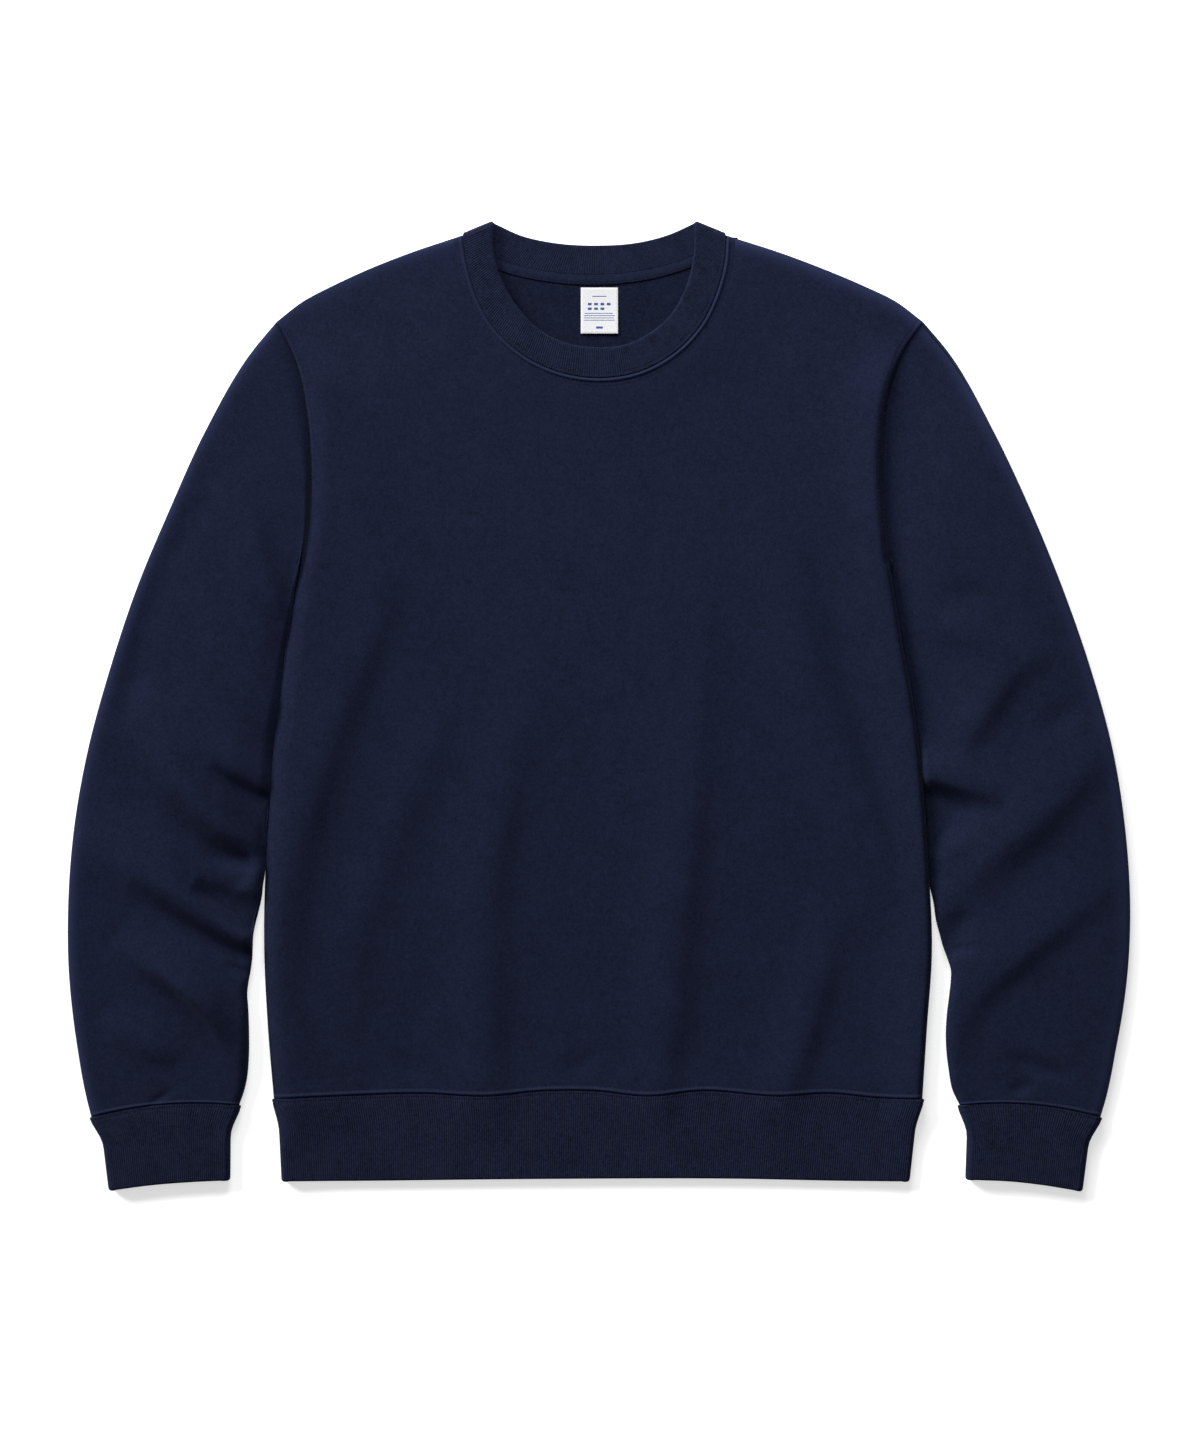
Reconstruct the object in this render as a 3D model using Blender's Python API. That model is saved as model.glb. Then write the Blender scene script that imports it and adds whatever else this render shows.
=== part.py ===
"""A crewneck sweatshirt laid flat on its back: panels, sleeves, ribs, neck tape and care label.

Every piece of cloth is a closed wall of its own, cut as it is sewn, with a seam's gap to its neighbours.
X runs across the garment, Y from hem to neck and Z up from the surface that it lies on. Sides are the
wearer's, so the right sleeve is at -X. Tables and shape functions work in millimetres.
"""

import math

import bmesh
import bpy
import numpy as np

METRES = 0.001
SEAM_GAP = 0.3
FLEECE = 2.0  # the wall of the panels and sleeves
RIB_CLOTH = 3.0  # the wall of the ribs, which are folded double
RIB_PITCH = 3.2  # from rib to rib
RIB_RISE = 0.3  # a rib above its groove's mean
TAPE_CLOTH = 0.9
LABEL_CLOTH = 0.6
SLEEVE_CLEAR = 1.4  # between a sleeve and the side that it lies along

BODY_HEIGHT = 5.6  # the top of the front panel over the middle of the body
SIDE_SEAM_HEIGHT = 5.4
SHOULDER_SEAM_HEIGHT = 4.5
EDGE_ROLL = 6.0  # how far a folded edge reaches before it lies flat
RIDGE = 0.8  # the seam allowance under the edge of a panel
EDGE_STEPS = (0.0, 1.4, 4.5, 9.0)  # stations beside a seam, which hold its ridge or roll
ARMHOLE_STEPS = (0.0, 1.0, 3.5, 8.0)
SIDE_PULL = 7  # how fast the columns of a panel straighten away from its sides

# how far the front panel rises above its middle beside each kind of edge, and how far in that fades
SIDE_RISE, SIDE_FADE = 2.2, 26.0
NECK_RISE, NECK_FADE = 2.4, 34.0
HEM_RISE, HEM_FADE = 1.5, 22.0

HEM_HEIGHT = 7.3
HEM_CLEAR = 0.55
HEM_CROWN, HEM_CROWN_REACH = 2.4, 25.0  # the band stands higher over its side folds
CUFF_HEIGHT = 9.7
COLLAR_HEIGHT = 8.4
COLLAR_FOLD_CLEAR = 1.3  # from the shoulder corner of the neck
BAND_ROWS = (0.0, 0.9, 1.0)  # a band's rows from its sewn edge to its turned one
BAND_WALL = (0.42, 0.50, 0.26)  # half of its wall at each row, as a share of the cloth
BAND_TURNS = (0.0, 30.0, 60.0, 90.0)  # degrees round a band's fold that have a station

SLEEVE_ROWS = 30
SLEEVE_ROLL = 6.0  # how much wider a sleeve's folds roll than a body edge
SLEEVE_FOLD_HEIGHT = 6.0  # the level of the folds along a sleeve's two edges
CUFF_FOLD_DROP = 1.2
SLEEVE_DOME = 1.5
# shares of a sleeve's length: over which the armhole's curve, its height and its narrow roll fade out,
# and from which the cuff seam's bow and the drop of the folds set in
ARMHOLE_FADE, HEIGHT_FADE, ROLL_FADE = 0.35, 0.14, 0.20
CUFF_BOW_FROM, CUFF_DROP_FROM = 0.85, 0.90

TAPE_WIDTH = 7.5
TAPE_BELOW_SEAM = 0.6
TAPE_SPAN = (0.13, 0.87)  # where the tape starts and ends, as shares of the back neck
LABEL_WIDE, LABEL_TALL, LABEL_CENTRE_X, LABEL_TOP_Y, LABEL_LIFT = 29.0, 36.0, 0.5, 327.0, 1.2

NAVY = (0.0105, 0.0135, 0.0325)
NAVY_RIB = (0.0095, 0.0125, 0.0300)
LABEL_WHITE = (0.82, 0.84, 0.88)

# y, and x at the body's right and left edges: side seams up to UNDERARM_Y and armholes above it
BODY_EDGE = (
    (-306.0, -253.5, 252.5),
    (-252.0, -258.0, 256.0),
    (-190.0, -261.0, 260.0),
    (-127.0, -260.0, 257.5),
    (-73.0, -256.5, 253.8),
    (-34.0, -254.0, 250.2),
    (8.0, -248.5, 244.5),
    (47.0, -244.0, 237.2),
    (79.0, -239.5, 232.0),
    (114.0, -233.0, 226.5),
    (139.0, -227.5, 224.0),
    (171.0, -225.0, 221.5),
    (200.0, -225.3, 221.5),
    (233.0, -228.5, 224.0),
    (257.5, -233.0, 230.0),
    (280.0, -241.0, 239.5),
    (300.0, -251.5, 253.0),
)
UNDERARM_Y = 114.0
SHOULDER_Y = 300.0

# x, y along each line, from the wearer's right to left
RIGHT_SHOULDER = (
    (-251.5, 300.0), (-231.5, 315.5), (-208.0, 328.0), (-181.0, 340.5), (-149.5, 353.0),
    (-106.5, 367.5),
)
LEFT_SHOULDER = (
    (99.5, 367.5), (144.5, 353.0), (177.5, 340.5), (207.0, 328.0), (232.5, 315.5),
    (253.0, 300.0),
)
FRONT_NECK = (
    (-106.5, 367.5),
    (-102.5, 344.0),
    (-95.0, 319.0),
    (-82.5, 296.0),
    (-63.5, 277.0),
    (-38.0, 263.0),
    (-2.0, 256.0),
    (32.0, 261.0),
    (60.0, 276.5),
    (80.0, 298.0),
    (92.5, 324.5),
    (98.0, 346.0),
    (99.5, 367.5),
)
BACK_NECK = (
    (-106.5, 367.5), (-94.0, 356.0), (-74.0, 347.0), (-40.0, 339.0), (-2.0, 336.5),
    (35.0, 340.0), (69.0, 349.5), (88.0, 358.0), (99.5, 367.5),
)
FRONT_COLLAR_EDGE = (
    (-82.3, 377.5),
    (-81.0, 350.0),
    (-75.0, 331.0),
    (-63.5, 312.0),
    (-44.5, 292.5),
    (-20.0, 282.0),
    (0.0, 280.0),
    (20.0, 282.0),
    (41.5, 292.5),
    (56.5, 306.0),
    (67.5, 326.0),
    (73.5, 348.0),
    (75.0, 377.5),
)
BACK_COLLAR_EDGE = (
    (-82.3, 377.5), (-60.0, 367.5), (-35.0, 362.0), (0.0, 360.0), (29.0, 362.0), (55.0, 368.5),
    (75.0, 377.5),
)
HEM_SEAM = (
    (-253.5, -306.0), (-230.0, -305.0), (-192.0, -303.5), (-140.0, -302.0), (-88.5, -304.0),
    (-40.0, -300.0), (-5.0, -300.0), (37.5, -304.0), (80.0, -300.0), (139.0, -304.0),
    (180.0, -302.0), (218.0, -305.5), (252.5, -306.0),
)
HEM_EDGE = (
    (-246.0, -370.5), (-200.0, -370.3), (-50.0, -368.8), (110.0, -368.6), (200.0, -370.3),
    (241.0, -370.5),
)

# each sleeve's outer edge from shoulder to cuff, x by y, and its inner edge from underarm to cuff
RIGHT_SLEEVE_OUTER = (
    (-251.5, 300.0), (-270.5, 277.0), (-306.5, 215.5), (-335.0, 153.0), (-361.0, 90.5),
    (-381.5, 28.5), (-398.5, -34.0), (-409.5, -96.5), (-414.0, -159.0), (-413.5, -205.0),
    (-408.5, -252.5), (-399.0, -315.0), (-396.0, -320.5),
)
LEFT_SLEEVE_OUTER = (
    (253.0, 300.0), (271.5, 278.0), (307.5, 215.5), (337.0, 153.0), (362.5, 90.5), (384.0, 28.5),
    (401.0, -34.0), (410.5, -96.5), (414.0, -159.0), (412.5, -205.0), (406.0, -252.5),
    (394.5, -315.0), (391.5, -320.5),
)
RIGHT_SLEEVE_INNER = (
    (-261.5, -133.0), (-265.0, -150.0), (-270.0, -176.0), (-272.0, -200.0), (-275.0, -220.0),
    (-273.0, -240.0), (-273.3, -262.5), (-276.0, -292.0), (-280.5, -311.0),
)
LEFT_SLEEVE_INNER = (
    (259.0, -123.0), (264.0, -151.0), (269.5, -181.5), (275.5, -203.0), (273.5, -224.0),
    (272.0, -242.0), (272.7, -262.5), (276.0, -288.0), (281.5, -311.0),
)
SLEEVE_LEAVES_Y = -118.0  # below this the sleeves lie clear of the sides

# how far along a sleeve, and the height of its top there
SLEEVE_TOP = (
    (0.0, 8.0), (0.10, 12.5), (0.25, 16.0), (0.50, 18.5), (0.75, 18.0), (0.92, 14.5),
    (1.0, 10.2),
)
SLEEVE_SEAM_BOW = 5.5  # how far the middle of a cuff seam rises above its ends

# x, y along each cuff's turned edge, from the inner end to the outer
RIGHT_CUFF_EDGE = (
    (-289.0, -369.5), (-319.0, -371.0), (-350.0, -373.5), (-381.0, -377.5),
)
LEFT_CUFF_EDGE = (
    (287.5, -369.0), (321.0, -370.5), (348.0, -373.5), (376.0, -378.0),
)

# soft folds: x0, y0 to x1, y1, how far the middle bows to its right, half width, and rise or fall
BODY_FOLDS = (
    (-153.0, 125.0, -231.0, -270.0, 20.0, 16.0, -1.0),
    (-128.0, 60.0, -196.0, -250.0, 16.0, 22.0, 1.6),
    (-47.0, -5.0, -71.0, -262.0, 13.0, 13.0, -1.1),
    (-104.0, -130.0, -106.0, -272.0, 0.0, 17.0, 2.0),
    (-30.0, -90.0, -36.0, -285.0, 6.0, 20.0, 1.7),
    (84.0, 0.0, 60.0, -280.0, -4.0, 13.0, -1.0),
    (106.0, -90.0, 98.0, -285.0, 0.0, 18.0, 1.8),
    (147.0, 143.0, 216.0, -150.0, -12.0, 20.0, -0.9),
    (190.0, -170.0, 163.0, -285.0, 0.0, 11.0, -1.0),
    (208.0, -150.0, 196.0, -280.0, 0.0, 14.0, 1.4),
)
RIGHT_SLEEVE_FOLDS = (
    (-256.0, 150.0, -257.0, 60.0, 0.0, 11.0, -2.0),
    (-338.0, 88.0, -304.0, 30.0, 0.0, 18.0, 2.4),
    (-306.0, 100.0, -256.0, -16.0, -8.0, 13.0, -2.6),
    (-338.0, -24.0, -262.0, -106.0, 0.0, 10.0, 3.4),
    (-342.0, -58.0, -262.0, -122.0, 4.0, 8.0, -4.2),
    (-346.0, -110.0, -262.0, -172.0, 0.0, 10.0, 3.4),
    (-404.0, -106.0, -264.0, -192.0, 4.0, 9.0, -5.2),
    (-372.0, -200.0, -286.0, -264.0, 0.0, 12.0, -3.0),
    (-352.0, -222.0, -280.0, -232.0, 0.0, 13.0, 2.4),
    (-384.0, -256.0, -336.0, -284.0, 0.0, 9.0, -2.0),
)
LEFT_SLEEVE_FOLDS = (
    (250.0, 160.0, 248.0, 70.0, 0.0, 12.0, -2.6),
    (338.0, 46.0, 268.0, -36.0, 0.0, 12.0, -3.4),
    (352.0, -6.0, 300.0, -50.0, 0.0, 13.0, 2.6),
    (250.0, -82.0, 318.0, -80.0, 0.0, 12.0, -4.4),
    (262.0, -122.0, 362.0, -40.0, -6.0, 10.0, 3.4),
    (398.0, -54.0, 262.0, -168.0, 0.0, 9.0, -5.2),
    (368.0, -118.0, 282.0, -190.0, 0.0, 12.0, 3.0),
    (390.0, -158.0, 276.0, -266.0, -5.0, 10.0, -4.2),
    (352.0, -214.0, 296.0, -276.0, 0.0, 12.0, 2.2),
    (326.0, -276.0, 376.0, -294.0, 0.0, 7.0, -1.6),
)


def smooth(at, knots, values):
    """Values at `at` on a smooth curve through `values` at `knots`, sloped at each by its neighbours."""
    knots, values = np.asarray(knots, float), np.asarray(values, float)
    slopes = np.gradient(values, knots, axis=0)
    at = np.asarray(at, float)
    i = np.clip(np.searchsorted(knots, at, side="right") - 1, 0, len(knots) - 2)
    step = knots[i + 1] - knots[i]
    t = (at - knots[i]) / step
    if values.ndim > 1:
        t, step = t[..., None], step[..., None]
    before = (1 + 2 * t) * (1 - t) ** 2 * values[i] + t * (1 - t) ** 2 * step * slopes[i]
    after = t * t * (3 - 2 * t) * values[i + 1] - t * t * (1 - t) * step * slopes[i + 1]
    return before + after


def through(points, at):
    """Points at fractions `at` of the length of a smooth line through `points`."""
    points = np.asarray(points, float)
    knots = np.concatenate([[0], np.cumsum(np.linalg.norm(np.diff(points, axis=0), axis=1))])
    return smooth(np.asarray(at) * knots[-1], knots, points)


def on_line(points, at):
    """Points at fractions `at` of the length of straight pieces between `points`."""
    points = np.asarray(points, float)
    run = np.concatenate([[0], np.cumsum(np.linalg.norm(np.diff(points, axis=0), axis=1))])
    return np.stack([np.interp(np.asarray(at) * run[-1], run, points[:, k]) for k in (0, 1)], axis=-1)


def length_of(points):
    """The length of a smooth line through `points`."""
    fine = through(points, np.linspace(0, 1, 200))
    return np.linalg.norm(np.diff(fine, axis=0), axis=1).sum()


def stations(length, near, count, far=None):
    """Fractions of a length: close steps `near` its start, `count` equal ones, `far` before its end."""
    far = near if far is None else far
    middle = np.linspace(near[-1], length - far[-1], count + 1)
    return np.concatenate([near[:-1], middle, length - np.array(far[-2::-1], float)]) / length


def moved(line, gap):
    """A line's points moved by a gap to its right."""
    line = np.asarray(line, float)
    along = np.gradient(line, axis=0)
    square = np.stack([along[:, 1], -along[:, 0]], axis=1)
    return line + gap * square / np.linalg.norm(square, axis=1)[:, None]


def ease(t):
    """A soft step from 0 to 1."""
    t = np.clip(t, 0, 1)
    return t * t * (3 - 2 * t)


def roll(distance, reach):
    """A quarter circle's rise from a folded edge, 0 at the edge and 1 from `reach` on."""
    t = np.clip(np.asarray(distance, float) / reach, 0, 1)
    return np.sqrt(1 - (1 - t) ** 2)


def folds(x, y, table):
    """The rise of the soft folds in a table: each a bell across a bowed line that fades at its ends."""
    rise = np.zeros(np.shape(x))
    for x0, y0, x1, y1, bow, width, lift in table:
        long = math.hypot(x1 - x0, y1 - y0)
        along = ((x - x0) * (x1 - x0) + (y - y0) * (y1 - y0)) / long**2
        across = ((x - x0) * (y1 - y0) - (y - y0) * (x1 - x0)) / long - bow * 4 * along * (1 - along)
        rise += lift * np.exp(-((across / width) ** 2)) * ease(along * 4) * ease((1 - along) * 4)
    return rise


def distance_to(points, line):
    """The distance in plan from each point to a line of straight pieces."""
    start, piece = line[:-1], np.diff(line, axis=0)
    from_start = points[..., None, :] - start
    t = np.clip((from_start * piece).sum(-1) / (piece**2).sum(-1), 0, 1)
    return np.linalg.norm(from_start - t[..., None] * piece, axis=-1).min(-1)


def body_edge(side, y):
    """Points of the body's edge at heights y, on the right (side 0) or left (side 1)."""
    table = np.array(BODY_EDGE)
    return np.stack([smooth(y, table[:, 0], table[:, 1 + side]), np.asarray(y, float)], axis=-1)


FINE = np.linspace(0, 1, 60)
HEM_CORNER_Y = BODY_EDGE[0][0]
SIDE_LINES = [body_edge(side, HEM_CORNER_Y + FINE * (UNDERARM_Y - HEM_CORNER_Y)) for side in (0, 1)]
EDGE_LINES = [body_edge(side, HEM_CORNER_Y + FINE * (SHOULDER_Y - HEM_CORNER_Y)) for side in (0, 1)]
SHOULDER_LINES = [through(line, FINE) for line in (RIGHT_SHOULDER, LEFT_SHOULDER)]
NECK_LINE = through(FRONT_NECK, FINE)
HEM_LINE = through(HEM_SEAM, FINE)


def nearest(points, lines):
    """The distance in plan to the nearest of some lines."""
    return np.min([distance_to(points, line) for line in lines], axis=0)


def front_height(points):
    """The top of the front panel, before its edges roll down: highest along the sides, neck and hem."""
    side = SIDE_RISE * np.exp(-((nearest(points, EDGE_LINES) / SIDE_FADE) ** 2))
    neck = NECK_RISE * np.exp(-((distance_to(points, NECK_LINE) / NECK_FADE) ** 2))
    hem = HEM_RISE * np.exp(-((distance_to(points, HEM_LINE) / HEM_FADE) ** 2))
    risen = np.maximum(side, np.maximum(neck, hem))
    return BODY_HEIGHT + risen + folds(points[..., 0], points[..., 1], BODY_FOLDS)


def armhole(side, steps):
    """Points on an armhole from underarm to shoulder, and how far each is from the nearer end."""
    line = body_edge(side, np.linspace(UNDERARM_Y, SHOULDER_Y, 40))
    points = through(line, steps)
    long = length_of(line)
    return points, np.minimum(steps, 1 - steps) * long, long


def armhole_heights(side, steps):
    """The heights of the front and back panels along an armhole, which meet at its ends."""
    points, from_end, _ = armhole(side, steps)
    seam = SIDE_SEAM_HEIGHT + (SHOULDER_SEAM_HEIGHT - SIDE_SEAM_HEIGHT) * steps
    turn = roll(from_end, EDGE_ROLL)
    return seam + (front_height(points) - seam) * turn, seam * (1 - turn)


def armhole_turn(side, steps):
    """The direction square to each armhole point's wall, in the upright surface over the armhole."""
    points, from_end, _ = armhole(side, steps)
    along = np.gradient(points, axis=0)
    along /= np.linalg.norm(along, axis=1)[:, None]
    down_to_end = np.where(steps < 0.5, -1.0, 1.0)[:, None] * along
    flat = (1 - np.clip(from_end / EDGE_ROLL, 0, 1))[:, None]
    upright = np.sqrt(1 - flat**2)
    return np.concatenate([down_to_end * flat, upright], axis=1)


class Piece:
    """Collects the points and faces of one closed piece of cloth."""

    def __init__(self):
        self.points = []
        self.faces = []

    def grid(self, points, ring=False):
        """Adds a grid of points with a face in each cell, and closes it round when it is a ring."""
        rows, columns = points.shape[:2]
        at = len(self.points) + np.arange(rows * columns).reshape(rows, columns)
        self.points.extend(points.reshape(-1, 3).tolist())
        right = np.roll(at, -1, axis=1) if ring else at[:, 1:]
        left = at if ring else at[:, :-1]
        cells = np.stack([left[:-1], right[:-1], right[1:], left[1:]], axis=-1)
        self.faces.extend(cells.reshape(-1, 4).tolist())
        return at

    def join(self, a, b):
        """Joins two edges with the same number of points."""
        self.faces.extend([a[i], a[i + 1], b[i + 1], b[i]] for i in range(len(a) - 1))

    def zip(self, a, at_a, b, at_b):
        """Joins two edges with points at the fractions at_a and at_b, by a triangle for each step."""
        i = j = 0
        while i < len(a) - 1 or j < len(b) - 1:
            if j == len(b) - 1 or (i < len(a) - 1 and at_a[i + 1] <= at_b[j + 1]):
                self.faces.append([a[i], a[i + 1], b[j]])
                i += 1
            else:
                self.faces.append([a[i], b[j + 1], b[j]])
                j += 1

    def finish(self, name, cloth):
        """Makes the piece's object, in metres, with its faces pointing out."""
        mesh = bpy.data.meshes.new(name)
        mesh.from_pydata((np.array(self.points) * METRES).tolist(), [], self.faces)
        shape = bmesh.new()
        shape.from_mesh(mesh)
        bmesh.ops.recalc_face_normals(shape, faces=shape.faces)
        bmesh.ops.triangulate(shape, faces=shape.faces)
        shape.to_mesh(mesh)
        shape.free()
        mesh.materials.append(cloth)
        mesh.shade_smooth()
        mesh.set_sharp_from_angle(angle=math.radians(50))
        piece = bpy.data.objects.new(name, mesh)
        bpy.context.scene.collection.objects.link(piece)
        return piece


def normals(points, ring=False):
    """The unit normals of a grid of points."""
    if ring:
        around = np.roll(points, -1, axis=1) - np.roll(points, 1, axis=1)
    else:
        around = np.gradient(points, axis=1)
    along = np.gradient(points, axis=0)
    square = np.cross(around, along)
    return square / np.linalg.norm(square, axis=2)[..., None]


def filled(bottom, top, left, right):
    """A grid that fills four edges: straight from bottom to top, bent beside its side edges."""

    def fraction(line):
        run = np.concatenate([[0], np.cumsum(np.linalg.norm(np.diff(line, axis=0), axis=1))])
        return run / run[-1]

    u = ((fraction(bottom) + fraction(top)) / 2)[None, :, None]
    v = ((fraction(left) + fraction(right)) / 2)[:, None, None]
    straight = (1 - v) * bottom[None] + v * top[None]
    from_left = (left - straight[:, 0])[:, None] * (1 - u) ** SIDE_PULL
    return straight + from_left + (right - straight[:, -1])[:, None] * u**SIDE_PULL


class Cut:
    """How a body panel is divided: its neck, its columns over a shoulder and the neck, its rows."""

    def __init__(self, neck, shoulder_columns, neck_columns, side_rows, arm_rows):
        self.neck, self.columns = neck, (shoulder_columns, neck_columns)
        self.side_rows, self.arm_rows = side_rows, arm_rows
        self.neck_first = shoulder_columns + len(EDGE_STEPS) - 1
        self.neck_last = self.neck_first + neck_columns

    def neck_line(self):
        """The sewn edge of the neck, as its straight pieces."""
        return through(self.neck, np.linspace(0, 1, self.columns[1] + 1))

    def hem_line(self):
        """The sewn edge of the hem, as its straight pieces."""
        shoulder, neck = self.columns
        return through(HEM_SEAM, stations(length_of(HEM_SEAM), EDGE_STEPS, 2 * shoulder + neck))

    def arm_steps(self, side):
        """Fractions along an armhole, from the underarm to the shoulder."""
        return stations(armhole(side, FINE)[2], ARMHOLE_STEPS, self.arm_rows)

    def plan(self):
        """The plan of the panel as a grid, and the row where its armholes start."""
        edges = []
        for side in (0, 1):
            seam = SIDE_LINES[side]
            lower = through(seam, stations(length_of(seam), EDGE_STEPS, self.side_rows, (0.0,)))
            edges.append(np.concatenate([lower, armhole(side, self.arm_steps(side))[0][1:]]))
        count = self.columns[0]
        right = through(RIGHT_SHOULDER, stations(length_of(RIGHT_SHOULDER), EDGE_STEPS, count, (0.0,)))
        left = through(LEFT_SHOULDER, stations(length_of(LEFT_SHOULDER), (0.0,), count, EDGE_STEPS))
        top = np.concatenate([right, self.neck_line()[1:-1], left])
        bands = len(ARMHOLE_STEPS) - 1
        border = [top]
        for step in range(1, bands + 1):
            line = moved(top, ARMHOLE_STEPS[step])
            line[0], line[-1] = edges[0][-1 - step], edges[1][-1 - step]
            border.insert(0, line)
        inside = filled(self.hem_line(), border[0], edges[0][:-bands], edges[1][:-bands])
        return np.concatenate([inside, np.array(border[1:])]), len(lower) - 1


FRONT = Cut(FRONT_NECK, 4, 12, 13, 6)
BACK = Cut(BACK_NECK, 4, 8, 9, 3)


def allowance(cut, shape, arm_row):
    """The rise of the seam allowances under a panel's sewn edges: hem, neck and armholes."""
    rise = np.zeros(shape)
    bump = np.array([-SEAM_GAP, RIDGE, RIDGE, 0.0])
    reach = len(bump)
    rise[:reach] = bump[:, None]
    neck = slice(cut.neck_first, cut.neck_last + 1)
    rise[-reach:, neck] = np.maximum(rise[-reach:, neck], bump[::-1, None])
    rise[-1, neck] = bump[0]
    for row in range(arm_row + 1, shape[0] - 1):
        rise[row, 1:reach] = np.maximum(rise[row, 1:reach], bump[1:])
        rise[row, -reach:-1] = np.maximum(rise[row, -reach:-1], bump[:0:-1])
    return rise


def edge_turns(cut, grid, turns, way, arm_row):
    """Sets the wall's direction along each edge: level at folded edges, upright at sewn ones."""
    upright = (0, 0, way)
    turns[0, :] = upright
    turns[-1, cut.neck_first + 1 : cut.neck_last] = upright
    for column, outward in ((0, -1.0), (-1, 1.0)):
        turns[: arm_row + 1, column] = (outward, 0, 0)
    last = grid.shape[1] - 1
    for k in list(range(1, cut.neck_first + 1)) + list(range(cut.neck_last, last)):
        along = grid[-1, k + 1, :2] - grid[-1, k - 1, :2]
        turns[-1, k] = (-along[1], along[0], 0) / np.linalg.norm(along)
    turns[-1, cut.neck_first] = turns[-1, cut.neck_last] = (0, 1, 0)
    for side, column in ((0, 0), (1, -1)):
        turns[arm_row:, column] = armhole_turn(side, cut.arm_steps(side)) * (1, 1, way)
    return turns


def body_panel(cut, name, cloth):
    """The front rolls down to its folded seams; the back is flat and rises to them."""
    way = 1 if cut is FRONT else -1
    plan, arm_row = cut.plan()
    from_side = nearest(plan, SIDE_LINES)
    from_side[: arm_row + 1, [0, -1]] = 0
    from_shoulder = nearest(plan, SHOULDER_LINES)
    from_shoulder[-1, : cut.neck_first + 1] = from_shoulder[-1, cut.neck_last :] = 0
    side_nearer = from_side / SIDE_SEAM_HEIGHT < from_shoulder / SHOULDER_SEAM_HEIGHT
    seam = np.where(side_nearer, SIDE_SEAM_HEIGHT, SHOULDER_SEAM_HEIGHT) + way * SEAM_GAP / 2
    from_edge = np.minimum(from_side, from_shoulder)
    turn = roll(from_edge, EDGE_ROLL)
    flat = 0.0
    if cut is FRONT:
        flat = front_height(plan) + allowance(cut, from_edge.shape, arm_row)
    height = seam + (flat - seam) * turn
    for side, column in ((0, 0), (1, -1)):
        edge = armhole_heights(side, cut.arm_steps(side))[0 if cut is FRONT else 1]
        height[arm_row:, column] = np.maximum(edge + way * SEAM_GAP / 2, 0)
    outer = np.concatenate([plan, height[..., None]], axis=2)
    turns = edge_turns(cut, outer, way * normals(outer), way, arm_row)
    return panel(outer, inner_face(outer, turns, seam, from_edge, way), name, cloth)


def inner_face(outer, turns, seam, from_edge, way):
    """The wall's inner face, which stays on its own side of the seam's level beside a folded edge."""
    inner = outer - FLEECE * turns
    level = seam * (1 - ease((from_edge - EDGE_ROLL / 2) / EDGE_ROLL)) if way > 0 else seam
    kept = np.maximum(inner[..., 2], level) if way > 0 else np.minimum(inner[..., 2], level)
    inner[..., 2] = np.where(from_edge < EDGE_ROLL * 1.5, kept, inner[..., 2])
    return inner


def panel(outer, inner, name, cloth):
    """Closes a wall between its outer and inner grids."""
    piece = Piece()
    a, b = piece.grid(outer), piece.grid(inner)
    for edge in (np.s_[0], np.s_[-1], np.s_[:, 0], np.s_[:, -1]):
        piece.join(a[edge], b[edge])
    return piece.finish(name, cloth)


def sleeve_lines(side):
    """A sleeve's outer and inner edges, each from the armhole to the cuff seam."""
    outward = (-1.0, 1.0)[side]
    ys = np.linspace(UNDERARM_Y, SLEEVE_LEAVES_Y, 9)
    beside = body_edge(side, ys) + (outward * SLEEVE_CLEAR, 0)
    free = (RIGHT_SLEEVE_INNER, LEFT_SLEEVE_INNER)[side]
    return (RIGHT_SLEEVE_OUTER, LEFT_SLEEVE_OUTER)[side], np.concatenate([beside, free])


def cuff_seam(side, across):
    """Points on a cuff's seam, which bows up between the ends of the sleeve's two edges."""
    outer_edge, inner_edge = sleeve_lines(side)
    inn, out = np.array(inner_edge[-1]), np.array(outer_edge[-1])
    line = inn + (out - inn) * across[:, None]
    line[:, 1] += SLEEVE_SEAM_BOW * 4 * across * (1 - across)
    return line


def sleeve_plan(side, along, across, over):
    """The plan of a sleeve's rings: the armhole, then straight across the arm, then the cuff seam."""
    outer_edge, inner_edge = sleeve_lines(side)
    out, inn = through(outer_edge, along), through(inner_edge, along)
    hole, _, _ = armhole(side, across)
    share = across[:, None]
    bow = hole - hole[0] - (hole[len(over) - 1] - hole[0]) * share
    curved = (1 - ease(along / ARMHOLE_FADE))[:, None, None]
    plan = inn[:, None] + (out - inn)[:, None] * share + bow * curved
    cuff_bow = ease((along - CUFF_BOW_FROM) / (1 - CUFF_BOW_FROM))
    plan[..., 1] += SLEEVE_SEAM_BOW * cuff_bow[:, None] * 4 * across * (1 - across)
    outward = (1.0, -1.0)[side]
    clear = moved(hole[: len(over)], -outward * SEAM_GAP) - hole[: len(over)]
    plan[0] = hole + np.stack([np.interp(across, over, clear[:, k]) for k in (0, 1)], axis=1)
    return plan, hole


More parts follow.
